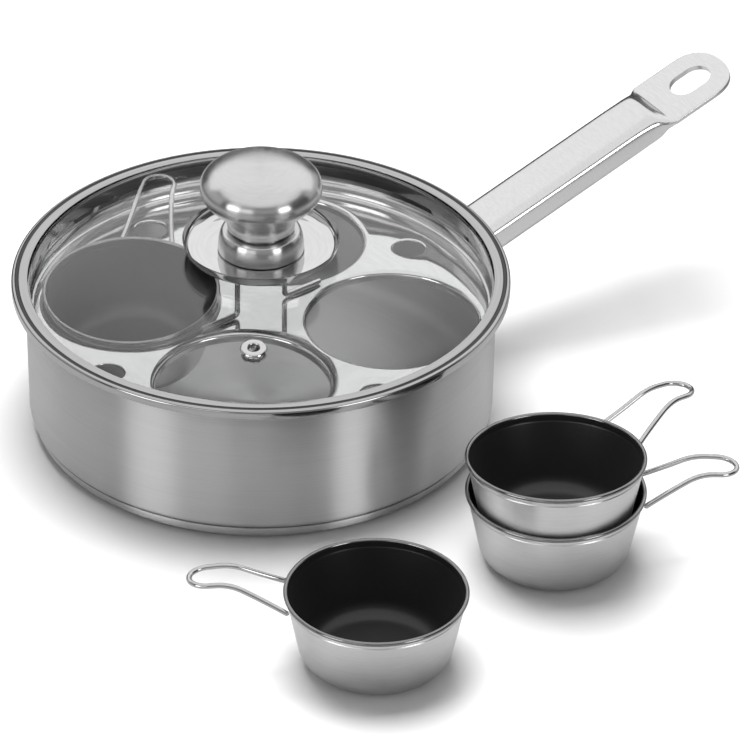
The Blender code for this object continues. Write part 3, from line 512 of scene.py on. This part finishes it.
def makeTray():
    bm = bmesh.new()
    top = tray["top"]
    ring = tray["flatRing"]
    small = tray["steamBend"]
    middle = Vector((0, 0))
    rim = circleEdges(bm, tray["flatRadius"] - ring, middle, top, shading["largeSteps"])
    holes = []
    for index in range(tray["holes"]):
        centre = holeCentre(index)
        holes.append((centre, circleEdges(bm, tray["lipRadius"] + ring, centre, top, tray["holeSteps"])))
        steam = radians(tray["holeAzimuth"]) + pi * (2 * index + 1) / tray["holes"]
        spot = Vector((tray["steamPitch"] * cos(steam), tray["steamPitch"] * sin(steam)))
        holes.append((spot, circleEdges(bm, tray["steamRadius"] + small, spot, top, tray["steamSteps"])))
    bmesh.ops.triangle_fill(bm, use_beauty=True, edges=bm.edges[:])
    bend = tray["lipRadius"] - tray["holeRadius"]
    lip = arc(tray["lipRadius"], top - bend, bend, pi / 2, pi / 2, 10)
    lip.append((tray["holeRadius"], top - tray["lipDepth"]))
    steamLip = arc(tray["steamRadius"] + small, top - small, small, pi / 2, pi / 2, 6)[1:]
    steamLip.append((tray["steamRadius"], top - tray["steamDepth"]))
    # cup holes and steam holes take turns in the list
    for index, (centre, edges) in enumerate(holes):
        drawOn(bm, edges, centre, steamLip if index % 2 else lip)
    corner = tray["corner"]
    wall = [(tray["flatRadius"], top)]
    wall += arc(tray["innerRadius"] - corner, top + corner, corner, -pi / 2, pi / 2, 8)[1:]
    ledge = top + tray["ledgeHeight"]
    for step in range(tray["ledgeSteps"] + 1):
        rise = step / tray["ledgeSteps"]
        wall.append((tray["innerRadius"] - tray["ledgeReach"] * sin(pi * rise) ** 2,
                     ledge + tray["ledgeTall"] * rise))
    fold = tray["flangeBend"]
    wall += arc(tray["innerRadius"] + fold, tray["flangeTop"] - fold, fold, pi, -pi / 2, 6)
    wall.append((tray["flangeRadius"], tray["flangeTop"]))
    drawOn(bm, rim, middle, wall)
    bmesh.ops.recalc_face_normals(bm, faces=bm.faces[:])
    flat = max(bm.faces, key=lambda face: abs(face.normal.z) * face.calc_area())
    if flat.normal.z < 0:
        bmesh.ops.reverse_faces(bm, faces=bm.faces[:])

    def thicken(holder):
        sheet = holder.modifiers.new("sheet", "SOLIDIFY")
        sheet.thickness = tray["sheet"]
        sheet.offset = -1
        sheet.use_even_offset = True

    plate = finishedMesh(meshFrom(bm), thicken)
    addPiece("trayPlate", plate, [mirrorSteel], "mirror_steel", "tray", "tray_plate")


makeTray()
print("tray made")


def rounded(corners, steps=8):
    # a path through (x, y, radius) corners, where a corner with a radius becomes an arc
    path = []
    for before, corner, after in zip(corners[:1] + corners, corners, corners[1:] + corners[-1:]):
        here = Vector(corner[:2])
        radius = corner[2]
        if radius == 0:
            path.append((here.x, here.y))
            continue
        back = (Vector(before[:2]) - here).normalized()
        ahead = (Vector(after[:2]) - here).normalized()
        half = back.angle(ahead) / 2
        middle = here + (back + ahead).normalized() * radius / sin(half)
        first = here + back * radius / tan(half) - middle
        side = copysign(1, back.y * ahead.x - back.x * ahead.y)
        path += arc(middle.x, middle.y, radius, atan2(first.y, first.x), side * (pi - 2 * half), steps)
    return path


def wireMesh(points, radius, matrix=None, ends=1.0):
    curve = bpy.data.curves.new("wire", "CURVE")
    curve.dimensions = "3D"
    curve.bevel_depth = radius
    curve.bevel_resolution = 6
    curve.use_fill_caps = True
    spline = curve.splines.new("POLY")
    spline.points.add(len(points) - 1)
    for knot, point in zip(spline.points, points):
        knot.co = (*point, 1)
    spline.points[0].radius = spline.points[-1].radius = ends
    mesh = finishedMesh(curve)
    if matrix is not None:
        mesh.transform(matrix)
    return mesh


arch = {"wire": 0.0012, "halfWidth": 0.0126, "height": 0.0205, "topBend": 0.005, "footBend": 0.002,
        "footReach": 0.0315, "gap": 0.0003}


def makeArch():
    foot = tray["top"] + arch["gap"] + arch["wire"]
    half = rounded([
        (arch["footReach"], foot, 0),
        (arch["halfWidth"], foot, arch["footBend"]),
        (arch["halfWidth"], tray["top"] + arch["height"], arch["topBend"]),
        (0, tray["top"] + arch["height"], 0),
    ])
    across = half[:-1] + [(-x, z) for x, z in reversed(half[:-1])]
    azimuth = radians(tray["holeAzimuth"]) + pi / tray["holes"]
    points = [(x * cos(azimuth), x * sin(azimuth), z) for x, z in across]
    addPiece("liftArch", wireMesh(points, arch["wire"]), [archSteel], "wire_steel", "tray", "lift_arch")


makeArch()
print("lift arch made")

cup = {
    "height": 0.034, "topRadius": 0.03705, "lean": 11.8, "sheet": 0.0007, "baseBend": 0.0095,
    "bead": 0.00095, "stepDrop": 0.004, "stepRise": 0.0006, "stepRounding": 0.0003,
    # the rolled edge under the bead: inset from the top radius, drop and rounding
    "edge": [(0.0008, 0.0021, 0), (0.0004, 0.0024, 0.0002), (0.0004, 0.0033, 0.0003),
             (0.00076, 0.0037, 0.0002)],
    "edgeDrop": 0.0042, "edgeRounding": 0.0004,
    # lowest places of the part painted dark as a reflection and of the uncoated part, in beads
    "paintedDark": 1.6, "uncoated": 0.6,
}
grip = {
    "wire": 0.00115, "gap": 0.0003, "rootDrop": 0.004, "rootHalfWidth": 0.0115, "loopHalfWidth": 0.0068,
    "drawingIn": 1.7, "legReach": 0.023, "legRise": 0.0111, "tip": 0.07625, "loopFall": 0.0018,
    "bend": 0.02, "loopEnd": 0.008, "legSteps": 40, "endSteps": 24, "weld": 0.0009, "weldShare": 0.5,
}
cupPlaces = {
    "a": {"rim": (-0.05555, 0.0076, 0.05765), "tilt": 4.2, "azimuth": 81},
    "b": {"rim": (0.0468, -0.18361, 0.034), "tilt": 0, "azimuth": 179.3},
    "c": {"rim": (0.12287, -0.11025, 0.034), "tilt": 0, "azimuth": 6.5},
    "d": {"rim": (0.12247, -0.111, 0.05115), "tilt": -4.4, "azimuth": 40.9},
}


def cupWall(drop):
    return cup["topRadius"] - (drop - 2 * cup["bead"]) * tan(radians(cup["lean"]))


def cupMesh(matrix):
    floor = cup["sheet"] - cup["height"]
    across = cup["sheet"] / cos(radians(cup["lean"]))
    top, bead, step = cup["topRadius"], cup["bead"], cup["stepDrop"]
    inner = rounded([
        (0, floor, 0),
        (cupWall(-floor) - across, floor, cup["baseBend"] - cup["sheet"]),
        (cupWall(step) - across, -step, cup["stepRounding"]),
        (top - bead, cup["stepRise"] - step, cup["stepRounding"]),
        (top - bead, -bead, 0),
    ])
    curl = arc(top, -bead, bead, pi, -4 * pi / 3, 14)[1:]
    outer = rounded([(top - inset, -drop, size) for inset, drop, size in cup["edge"]] + [
        (cupWall(cup["edgeDrop"]), -cup["edgeDrop"], cup["edgeRounding"]),
        (cupWall(cup["height"]), -cup["height"], cup["baseBend"]),
        (0, -cup["height"], 0),
    ], 6)
    bm = turn(inner + curl + outer, shading["cupSteps"])
    # the black coating covers the inside up to the bead, whose outside gets a darker steel as a painted dark
    # reflection
    overhang, slack = -0.2, 0.0001
    for face in bm.faces:
        middle = face.calc_center_median()
        away = middle.xy.length
        inside = face.normal.z > overhang and face.normal.xy.dot(middle.xy) <= slack * away
        if inside and middle.z < -cup["uncoated"] * bead and away < top:
            face.material_index = 1
        elif middle.z > -cup["paintedDark"] * bead:
            face.material_index = 2
    return meshFrom(bm, matrix)


def heightOn(path, x):
    for (x0, z0), (x1, z1) in zip(path, path[1:]):
        if x <= x1:
            return z0 + (z1 - z0) * max(x - x0, 0) / (x1 - x0)
    return path[-1][1]


def gripPoints():
    stand = cupWall(grip["rootDrop"]) + grip["gap"] + grip["wire"]
    root = sqrt(stand ** 2 - grip["rootHalfWidth"] ** 2)
    bend = root + grip["legReach"]
    tip = grip["tip"]
    spine = rounded([
        (root, -grip["rootDrop"], 0),
        (bend, grip["legRise"] - grip["rootDrop"], grip["bend"]),
        (tip, grip["legRise"] - grip["rootDrop"] - grip["loopFall"], 0),
    ], 16)
    loop = tip - grip["loopEnd"]
    side = []
    for step in range(grip["legSteps"] + 1):
        along = step / grip["legSteps"]
        spread = (grip["rootHalfWidth"] - grip["loopHalfWidth"]) * (1 - along) ** grip["drawingIn"]
        side.append((root + (loop - root) * along, grip["loopHalfWidth"] + spread))
    end = []
    for step in range(1, grip["endSteps"]):
        angle = pi * step / grip["endSteps"]
        end.append((loop + grip["loopEnd"] * sin(angle), grip["loopHalfWidth"] * cos(angle)))
    side.insert(0, (root - grip["weld"], grip["rootHalfWidth"]))
    outline = side + end + [(x, -y) for x, y in reversed(side)]
    return [(x, y, heightOn(spine, x)) for x, y in outline]


def makeCups():
    points = gripPoints()
    for letter, place in cupPlaces.items():
        tilt = radians(place["tilt"])
        azimuth = radians(place["azimuth"])
        matrix = (Matrix.Translation(place["rim"]) @ Matrix.Rotation(tilt, 4, "X")
                  @ Matrix.Rotation(azimuth, 4, "Z"))
        outside = steel("cupSteel" + letter.upper(), finishes["cup"], place["rim"], (-tilt, 0, 0))
        lining = coating("cupLining" + letter.upper(), coatingLook, place["rim"])
        body = "cup_" + letter
        addPiece("cupShell_" + letter, cupMesh(matrix), [outside, lining, paintedDarkRimSteel], "cup_steel", body,
                 body + "_shell")
        bent = wireMesh(points, grip["wire"], matrix, grip["weldShare"])
        addPiece("cupGrip_" + letter, bent, [wireSteel], "wire_steel", body, body + "_handle")


makeCups()
print("cups made")

lid = {
    "edgeTop": 0.0695, "rise": 0.0124, "fullness": 6, "mouth": 0.099985, "thickness": 0.0025,
    "bore": 0.0028, "edge": 0.106185, "edgeRounding": 0.002, "radialSteps": 44, "radialSpacing": 0.8,
    "bandSheet": 0.0005, "bandRadius": 0.106985, "bandBottom": 0.0662, "bandTop": 0.0703,
    "bandBend": 0.0012, "bandFall": 0.0002, "bandEdge": 0.0004, "bandMouth": 0.0002,
    "grooveInner": 0.1037, "grooveOuter": 0.1055, "grooveDepth": 0.0003, "grooveEdge": 0.0001,
    "skirtOuter": 0.0989, "skirtFoot": 0.062,
    "ventAzimuth": -92.4, "ventDistance": 0.0741,
}
eyelet = {
    "bore": 0.00235, "shank": 0.0042, "flange": 0.00575, "crest": 0.0011, "footFlange": 0.0054,
    "footSheet": 0.0005, "footClearance": 0.0008, "gap": 0.0003,
    "boreBend": 0.0009, "flangeBend": 0.0011, "crestInset": 0.0006, "flangeEdge": 0.0001,
}


def glassHeight(radius):
    share = min(radius / lid["mouth"], 1)
    return lid["edgeTop"] + lid["rise"] * (1 - share ** lid["fullness"])


def ventMatrix():
    distance = lid["ventDistance"]
    share = distance / lid["mouth"]
    slope = lid["rise"] * lid["fullness"] * share ** (lid["fullness"] - 1) / lid["mouth"]
    spot = Matrix.Translation((distance, 0, glassHeight(distance)))
    return Matrix.Rotation(radians(lid["ventAzimuth"]), 4, "Z") @ spot @ Matrix.Rotation(atan(slope), 4, "Y")


def makeLidGlass():
    steps = lid["radialSteps"]
    bore = lid["bore"]
    shares = [(step / steps) ** lid["radialSpacing"] for step in range(steps + 1)]
    radii = [bore + (lid["mouth"] - bore) * share for share in shares]
    top = [(radius, glassHeight(radius)) for radius in radii]
    bottom = [(radius, height - lid["thickness"]) for radius, height in reversed(top)]
    rim = rounded([
        (*top[-1], 0),
        (lid["edge"], lid["edgeTop"], lid["edgeRounding"]),
        (lid["edge"], lid["edgeTop"] - lid["thickness"], 0),
    ])
    pane = turn(top + rim[1:] + bottom, shading["largeSteps"])
    hole = roundTool(eyelet["shank"] + eyelet["gap"])
    drilled = cutOut(meshFrom(pane), meshFrom(hole, ventMatrix()))
    addPiece("lidGlass", drilled, [lidGlassLook], "clear_glass", "lid", "lid_glass")


def makeLidBand():
    sheet = lid["bandSheet"]
    outer, inner = lid["bandRadius"], lid["skirtOuter"]
    low = lid["bandTop"] - lid["bandFall"]
    inside, outside = lid["grooveInner"], lid["grooveOuter"]
    crest = lid["bandTop"] - lid["bandFall"] / 2
    deep = lid["grooveDepth"]
    band = turnCorners([
        (lid["mouth"], lid["bandTop"], lid["bandMouth"]),
        (inside, crest, lid["grooveEdge"]),
        (inside + deep, crest - deep, 0),
        (outside - deep, crest - deep, 0),
        (outside, crest, lid["grooveEdge"]),
        (outer, low, lid["bandBend"]),
        (outer, lid["bandBottom"], lid["bandEdge"]),
        (inner, lid["bandBottom"], 0),
        (inner, lid["skirtFoot"], 0),
        (inner - sheet, lid["skirtFoot"], 0),
        (inner - sheet, lid["bandBottom"] + sheet, 0),
        (outer - sheet, lid["bandBottom"] + sheet, 0),
        (outer - sheet, low - sheet, lid["bandBend"] - sheet),
        (lid["mouth"], lid["bandTop"] - sheet, lid["bandMouth"]),
    ], shading["largeSteps"])
    # the groove's top faces take the painted shade
    for face in band.faces:
        away = face.calc_center_median().xy.length
        if inside < away < outside and face.normal.z > 0:
            face.material_index = 1
    addPiece("lidBand", meshFrom(band), [ringSteel, paintedGrooveShade], "bright_steel", "lid", "lid_band")


def makeEyelet():
    foot = -lid["thickness"] - eyelet["footClearance"]
    bore, flange, gap = eyelet["bore"], eyelet["flange"], eyelet["gap"]
    profile = rounded([
        (bore, foot - eyelet["footSheet"], 0),
        (bore, eyelet["crest"] + gap, eyelet["boreBend"]),
        (flange - eyelet["crestInset"], eyelet["crest"] + gap, eyelet["flangeBend"]),
        (flange, gap + eyelet["flangeEdge"], 0),
        (flange, gap, 0),
        (eyelet["shank"], gap, 0),
        (eyelet["shank"], foot, 0),
        (eyelet["footFlange"], foot, 0),
        (eyelet["footFlange"], foot - eyelet["footSheet"], 0),
    ])
    ring = meshFrom(turn(profile, shading["smallSteps"]), ventMatrix())
    addPiece("ventEyelet", ring, [brightSteel], "bright_steel", "lid", "vent_eyelet")


makeLidGlass()
makeLidBand()
makeEyelet()
print("lid made")

knob = {
    "bore": 0.0028, "steps": 24,
    "dishBottom": 0.0831, "dishFlat": 0.0195, "dishRadius": 0.0336, "dishSheet": 0.0006,
    "dishRise": 0.0056, "dishLean": 0.12, "dishTurnUp": 14, "dishSpacing": 1.6, "dishEdge": 0.0002,
    "collarBottom": 0.084, "collarTop": 0.0937, "collarFoot": 0.0185, "collarNeck": 0.016,
    "collarFullness": 2.0, "collarTopEdge": 0.0004, "collarFootEdge": 0.001,
    "spigot": 0.0126, "spigotTop": 0.094,
    "headBottom": 0.0943, "neckRadius": 0.0145, "neckHeight": 0.0027, "neckEdge": 0.0014,
    "headRadius": 0.02615, "underHeight": 0.0165, "domeHeight": 0.0117, "domeFullness": 2.5,
    "domeSteps": 28, "screwRoom": 0.0063,
}


def makeDish():
    reach = knob["dishRadius"] - knob["dishFlat"]
    lean = knob["dishLean"]
    curve = [(knob["bore"], 0)]
    for step in range(knob["steps"] + 1):
        share = 1 - (1 - step / knob["steps"]) ** knob["dishSpacing"]
        rise = lean * share + (1 - lean) * share ** knob["dishTurnUp"]
        curve.append((knob["dishFlat"] + reach * share, knob["dishRise"] * rise))
    low = knob["dishBottom"]
    upper = [(x, low + knob["dishSheet"] + z) for x, z in curve]
    lower = [(x, low + z) for x, z in reversed(curve)]
    dish = turn(upper + lower, shading["largeSteps"])
    softenRing(dish, *upper[-1], knob["dishEdge"], 3)
    softenRing(dish, *lower[0], knob["dishEdge"], 3)
    addPiece("knobDish", meshFrom(dish), [mirrorSteel], "mirror_steel", "lid", "knob_dish")


def makeCollar():
    tall = knob["collarTop"] - knob["collarBottom"]
    spread = knob["collarFoot"] - knob["collarNeck"]
    full = knob["collarFullness"]
    flare = []
    for step in range(knob["steps"] + 1):
        down = step / knob["steps"]
        swell = (1 - (1 - down) ** full) ** (1 / full)
        flare.append((knob["collarNeck"] + spread * swell, knob["collarTop"] - tall * down))
    top = [(knob["bore"], knob["spigotTop"]), (knob["spigot"], knob["spigotTop"]),
           (knob["spigot"], knob["collarTop"])]
    collar = turn(top + flare + [(knob["bore"], knob["collarBottom"])], shading["largeSteps"])
    softenRing(collar, *flare[0], knob["collarTopEdge"], 4)
    softenRing(collar, *flare[-1], knob["collarFootEdge"], 4)
    addPiece("knobCollar", meshFrom(collar), [knobSteel], "bright_steel", "lid", "knob_collar")


def makeHead():
    brim = knob["headBottom"] + knob["neckHeight"] + knob["underHeight"]
    neck, widest = knob["neckRadius"], knob["headRadius"]
    power = 2 / knob["domeFullness"]
    profile = []
    for step in range(knob["domeSteps"] + 1):
        angle = pi / 2 * step / knob["domeSteps"]
        rise = knob["domeHeight"] * max(cos(angle), 0) ** power
        profile.append((widest * sin(angle) ** power, brim + rise))
    for step in range(1, knob["steps"] + 1):
        left = 1 - step / knob["steps"]
        swell = left * left * (3 - 2 * left)
        profile.append((neck + (widest - neck) * swell, brim - knob["underHeight"] * (1 - left)))
    bottom = knob["headBottom"]
    top = bottom + knob["screwRoom"]
    profile += [(neck, bottom), (knob["bore"], bottom), (knob["bore"], top), (0, top)]
    head = turn(profile, shading["largeSteps"])
    softenRing(head, neck, bottom, knob["neckEdge"], 5)
    addPiece("knobHead", meshFrom(head), [knobSteel], "bright_steel", "lid", "knob_head")


makeDish()
makeCollar()
makeHead()
print("knob made")

handle = {
    "azimuth": 31, "slope": 20.2, "wall": 0.101085, "height": 0.0533, "start": 0.0029835, "length": 0.1457,
    "width": 0.0256, "depth": 0.0138, "squareness": 4.5, "closing": 0.022, "tabLength": 0.0364,
    "tabWidth": 0.0335, "tabThickness": 0.0024, "tabRaise": 0.0013, "tabSquareness": 9.0, "sheet": 0.001,
    "endReach": 0.015, "endSquareness": 2.3, "boreStop": 0.009,
    "holeLength": 0.0198, "holeWidth": 0.014, "holeInset": 0.0171,
    "sides": 96, "tubeSteps": 6, "closingSteps": 44, "endSteps": 25,
    # place along the closing length, share of the widening and of the thinning, squareness
    "shares": [(0, 0, 0, 4.5), (0.4, 0.04, 0.0, 4.0), (0.68, 0.2, 0.03, 3.2), (0.83, 0.56, 0.5, 2.8),
               (0.95, 0.94, 0.96, 5.0), (1, 1, 1, 9.0)],
}


def between(rows, place):
    # reads smooth values between the rows of a table
    for index in range(len(rows) - 1):
        if place <= rows[index + 1][0]:
            break
    first, second = rows[index], rows[index + 1]
    before = rows[max(index - 1, 0)]
    after = rows[min(index + 2, len(rows) - 1)]
    span = second[0] - first[0]
    t = (place - first[0]) / span
    found = []
    for column in range(1, len(first)):
        startSlope = (second[column] - before[column]) / max(second[0] - before[0], span) * span
        endSlope = (after[column] - first[column]) / max(after[0] - first[0], span) * span
        if (second[column] - first[column]) * (first[column] - before[column]) <= 0:
            startSlope = 0
        if (after[column] - second[column]) * (second[column] - first[column]) <= 0:
            endSlope = 0
        found.append(
            first[column] * (2 * t ** 3 - 3 * t ** 2 + 1) + startSlope * (t ** 3 - 2 * t ** 2 + t)
            + second[column] * (3 * t ** 2 - 2 * t ** 3) + endSlope * (t ** 3 - t ** 2))
    return found


def handleStages():
    wide, deep = handle["width"] / 2, handle["depth"] / 2
    tabWide, tabDeep = handle["tabWidth"] / 2, handle["tabThickness"] / 2
    crease = handle["length"] - handle["tabLength"]
    closing = crease - handle["closing"]
    stages = []
    tube = handle["tubeSteps"]
    for step in range(tube):
        place = handle["start"] + (closing - handle["start"]) * step / tube
        stages.append((place, wide, deep, handle["squareness"], 0))
    for step in range(handle["closingSteps"] + 1):
        share = step / handle["closingSteps"]
        widening, thinning, square = between(handle["shares"], share)
        stages.append((closing + handle["closing"] * share, wide + (tabWide - wide) * widening,
                       deep + (tabDeep - deep) * thinning, square, handle["tabRaise"] * thinning))
    reach, power = handle["endReach"], 2 / handle["endSquareness"]
    for step in range(handle["endSteps"]):
        angle = pi / 2 * step / handle["endSteps"]
        place = handle["length"] - reach + reach * sin(angle) ** power
        stages.append((place, tabWide * cos(angle) ** power, tabDeep, handle["tabSquareness"],
                       handle["tabRaise"]))
    stages.append((handle["length"], tabDeep, tabDeep, handle["tabSquareness"], handle["tabRaise"]))
    return stages


def shapeRing(verts, stage, inset=0):
    # the first ring leans with the wall that the tube starts at
    x, wide, deep, square, raised = stage
    slant = tan(radians(handle["slope"])) if x == handle["start"] else 0
    for index, vert in enumerate(verts):
        angle = 2 * pi * (index + 0.5) / len(verts)
        across = copysign(abs(cos(angle)) ** (2 / square), cos(angle))
        up = copysign(abs(sin(angle)) ** (2 / square), sin(angle))
        height = raised + (deep - inset) * up
        vert.co = (x + slant * height, (wide - inset) * across, height)


def makeHandle():
    stages = handleStages()
    boreEnd = handle["length"] - handle["tabLength"] - handle["boreStop"]
    bore = [stage for stage in stages if stage[0] < boreEnd]
    rows = [(stage, handle["sheet"]) for stage in reversed(bore)] + [(stage, 0) for stage in stages]
    bm = bmesh.new()
    verts = bmesh.ops.create_circle(bm, cap_ends=True, segments=handle["sides"], radius=1)["verts"]
    shapeRing(verts, *rows[0])
    edges = [edge for edge in bm.edges if edge.is_boundary]
    for stage, inset in rows[1:]:
        drawn = bmesh.ops.extrude_edge_only(bm, edges=edges)["geom"]
        fresh = {item for item in drawn if isinstance(item, bmesh.types.BMVert)}
        follow = []
        for vert in verts:
            ends = [edge.other_vert(vert) for edge in vert.link_edges]
            follow.append(next(end for end in ends if end in fresh))
        verts = follow
        shapeRing(verts, stage, inset)
        edges = [item for item in drawn if isinstance(item, bmesh.types.BMEdge) and item.is_boundary]
    bmesh.ops.holes_fill(bm, edges=edges)
    bmesh.ops.recalc_face_normals(bm, faces=bm.faces[:])
    matrix = (Matrix.Rotation(radians(handle["azimuth"]), 4, "Z")
              @ Matrix.Translation((handle["wall"], 0, handle["height"]))
              @ Matrix.Rotation(-radians(handle["slope"]), 4, "Y"))
    hole = roundTool(handle["holeWidth"] / 2, pi / shading["smallSteps"])
    for vert in hole.verts:
        vert.co.x += copysign((handle["holeLength"] - handle["holeWidth"]) / 2, vert.co.x)
    spot = Matrix.Translation((handle["length"] - handle["holeInset"], 0, handle["tabRaise"]))
    mesh = cutOut(meshFrom(bm, matrix), meshFrom(hole, matrix @ spot))
    addPiece("panHandle", mesh, [handleSteel], "bright_steel", "pan", "pan_handle")


makeHandle()
print("handle made")

keptFinishes = {
    "base_core": coreAluminium,
    "handle_bracket": wallSteel,
    "knob_screw": wireSteel,
    "knob_washer": wireSteel,
    "gasket_lower": gasketRubber,
    "gasket_upper": gasketRubber,
}
for node, made in keptFinishes.items():
    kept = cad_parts[node]
    for place in range(len(kept.material_slots)):
        kept.material_slots[place].material = made
print("kept nodes dressed")

studio = {
    # floorMirrored and floorFar are painted shade: the floor's tone as reflections show it, near and far
    "floorLevel": -0.0002, "floorSize": 6.0, "floorTone": 0.92, "floorMirrored": 0.52, "floorFar": 0.1,
    "floorFade": (0.3, 0.6),
    "overhead": {"place": (-0.05, 0.2, 1.3), "aim": (0, 0, 0), "size": 0.85, "power": 25.0},
    "backdrop": 1.0, "ambient": 0.22, "room": 0.07,
    # softboxes and cards: bearing from the camera side to the right, half width, lowest and highest
    # elevation, softness of the edges, all in degrees, and brightness
    "cards": [
        (-51, 12, -20, 24, 8, 3.6),
        (-27, 14, -20, 24, 12, 1.3),
        (43, 10, -20, 24, 8, 3.9),
        (-105, 30, -20, 36, 12, 0.5),
        (125, 28, -20, 36, 12, 0.5),
        (0, 32, -5, 30, 10, 0.4),
        (180, 65, 19, 62, 6, 1.1),
        (0, 180, 42, 91, 10, 1.0),
    ],
}


def makeFloor():
    bm = bmesh.new()
    half = studio["floorSize"] / 2
    bmesh.ops.create_grid(bm, x_segments=4, y_segments=4, size=half,
                          matrix=Matrix.Translation((0, 0, studio["floorLevel"])))
    mesh = meshFrom(bm)
    made, tree, shader = newMaterial("studioFloor")
    tree.nodes.remove(shader)
    # in steel the floor shows greyer, as painted shade, and painted darker towards the ends of the room
    mirrored = calc(tree, "MINIMUM", put(tree, "LightPath").outputs["Glossy Depth"], 1.0)
    place = put(tree, "TexCoord").outputs["Object"]
    away = put(tree, "VectorMath", {"operation": "LENGTH"}, i0=place).outputs[1]
    near, far = studio["floorFade"]
    low = put(tree, "MapRange", None, Value=away, From_Min=near, From_Max=far, To_Min=studio["floorMirrored"],
              To_Max=studio["floorFar"]).outputs[0]
    tone = put(tree, "Mix", {"data_type": "FLOAT"}, i0=mirrored, i2=studio["floorTone"], i3=low).outputs[0]
    colour = put(tree, "CombineColor", None, i0=tone, i1=tone, i2=tone)
    surface = put(tree, "BsdfDiffuse", None, Color=colour.outputs[0])
    tree.links.new(surface.outputs[0], tree.nodes["Material Output"].inputs["Surface"])
    mesh.materials.append(made)
    floor = bpy.data.objects.new("studioFloor", mesh)
    bpy.context.scene.collection.objects.link(floor)


def softStep(tree, value, edge, soft, first=0.0, last=1.0):
    # goes from the first level to the last across a soft edge
    return put(tree, "MapRange", {"interpolation_type": "SMOOTHSTEP"}, Value=value, From_Min=edge - soft / 2,
               From_Max=edge + soft / 2, To_Min=first, To_Max=last).outputs[0]


def addCard(tree, bearing, elevation, card):
    # one soft edged rectangle of light on the dome round the object
    centre, half, low, high, soft, level = card
    if half < 180:
        off = calc(tree, "SUBTRACT", bearing, centre)
        turned = put(tree, "Math", {"operation": "WRAP"}, i0=off, i1=180.0, i2=-180.0).outputs[0]
        level = softStep(tree, calc(tree, "ABSOLUTE", turned), half, soft, level, 0.0)
    above = softStep(tree, elevation, low, soft)
    below = softStep(tree, elevation, high, soft, 1.0, 0.0)
    return calc(tree, "MULTIPLY", calc(tree, "MULTIPLY", above, below), level)


def makeLights():
    lamp = studio["overhead"]
    data = bpy.data.lights.new("overheadBox", "AREA")
    data.size = lamp["size"]
    data.energy = lamp["power"]
    box = bpy.data.objects.new("overheadBox", data)
    box.location = lamp["place"]
    aim = Vector(lamp["aim"]) - box.location
    box.rotation_euler = aim.to_track_quat("-Z", "Y").to_euler()
    box.visible_glossy = False  # what shines is drawn by the cards
    box.visible_transmission = False
    bpy.context.scene.collection.objects.link(box)
    world = bpy.data.worlds.new("studioRoom")
    bpy.context.scene.world = world
    world.use_nodes = True
    tree = world.node_tree
    direction = put(tree, "TexCoord").outputs["Generated"]
    x, y, z = put(tree, "SeparateXYZ", None, Vector=direction).outputs
    degree = 180 / pi
    bearing = calc(tree, "MULTIPLY", calc(tree, "ARCTAN2", x, calc(tree, "MULTIPLY", y, -1.0)), degree)
    elevation = calc(tree, "MULTIPLY", calc(tree, "ARCSINE", z), degree)
    level = studio["room"]
    for card in studio["cards"]:
        level = calc(tree, "MAXIMUM", level, addCard(tree, bearing, elevation, card))
    rays = put(tree, "LightPath").outputs
    # straight on, also through the glass, the room is plain; only reflections show the cards
    mirrored = calc(tree, "MINIMUM", rays["Glossy Depth"], 1.0)
    plain = put(tree, "Mix", {"data_type": "FLOAT"}, i0=mirrored, i2=studio["backdrop"], i3=level)
    seen = put(tree, "Mix", {"data_type": "FLOAT"}, i0=rays["Is Diffuse Ray"], i2=plain.outputs[0],
               i3=studio["ambient"])
    tree.links.new(seen.outputs[0], tree.nodes["Background"].inputs["Strength"])
    tree.nodes["Background"].inputs["Color"].default_value = (1, 1, 1, 1)
    bpy.context.scene.view_settings.view_transform = "Standard"


makeFloor()
makeLights()
print("studio lit")
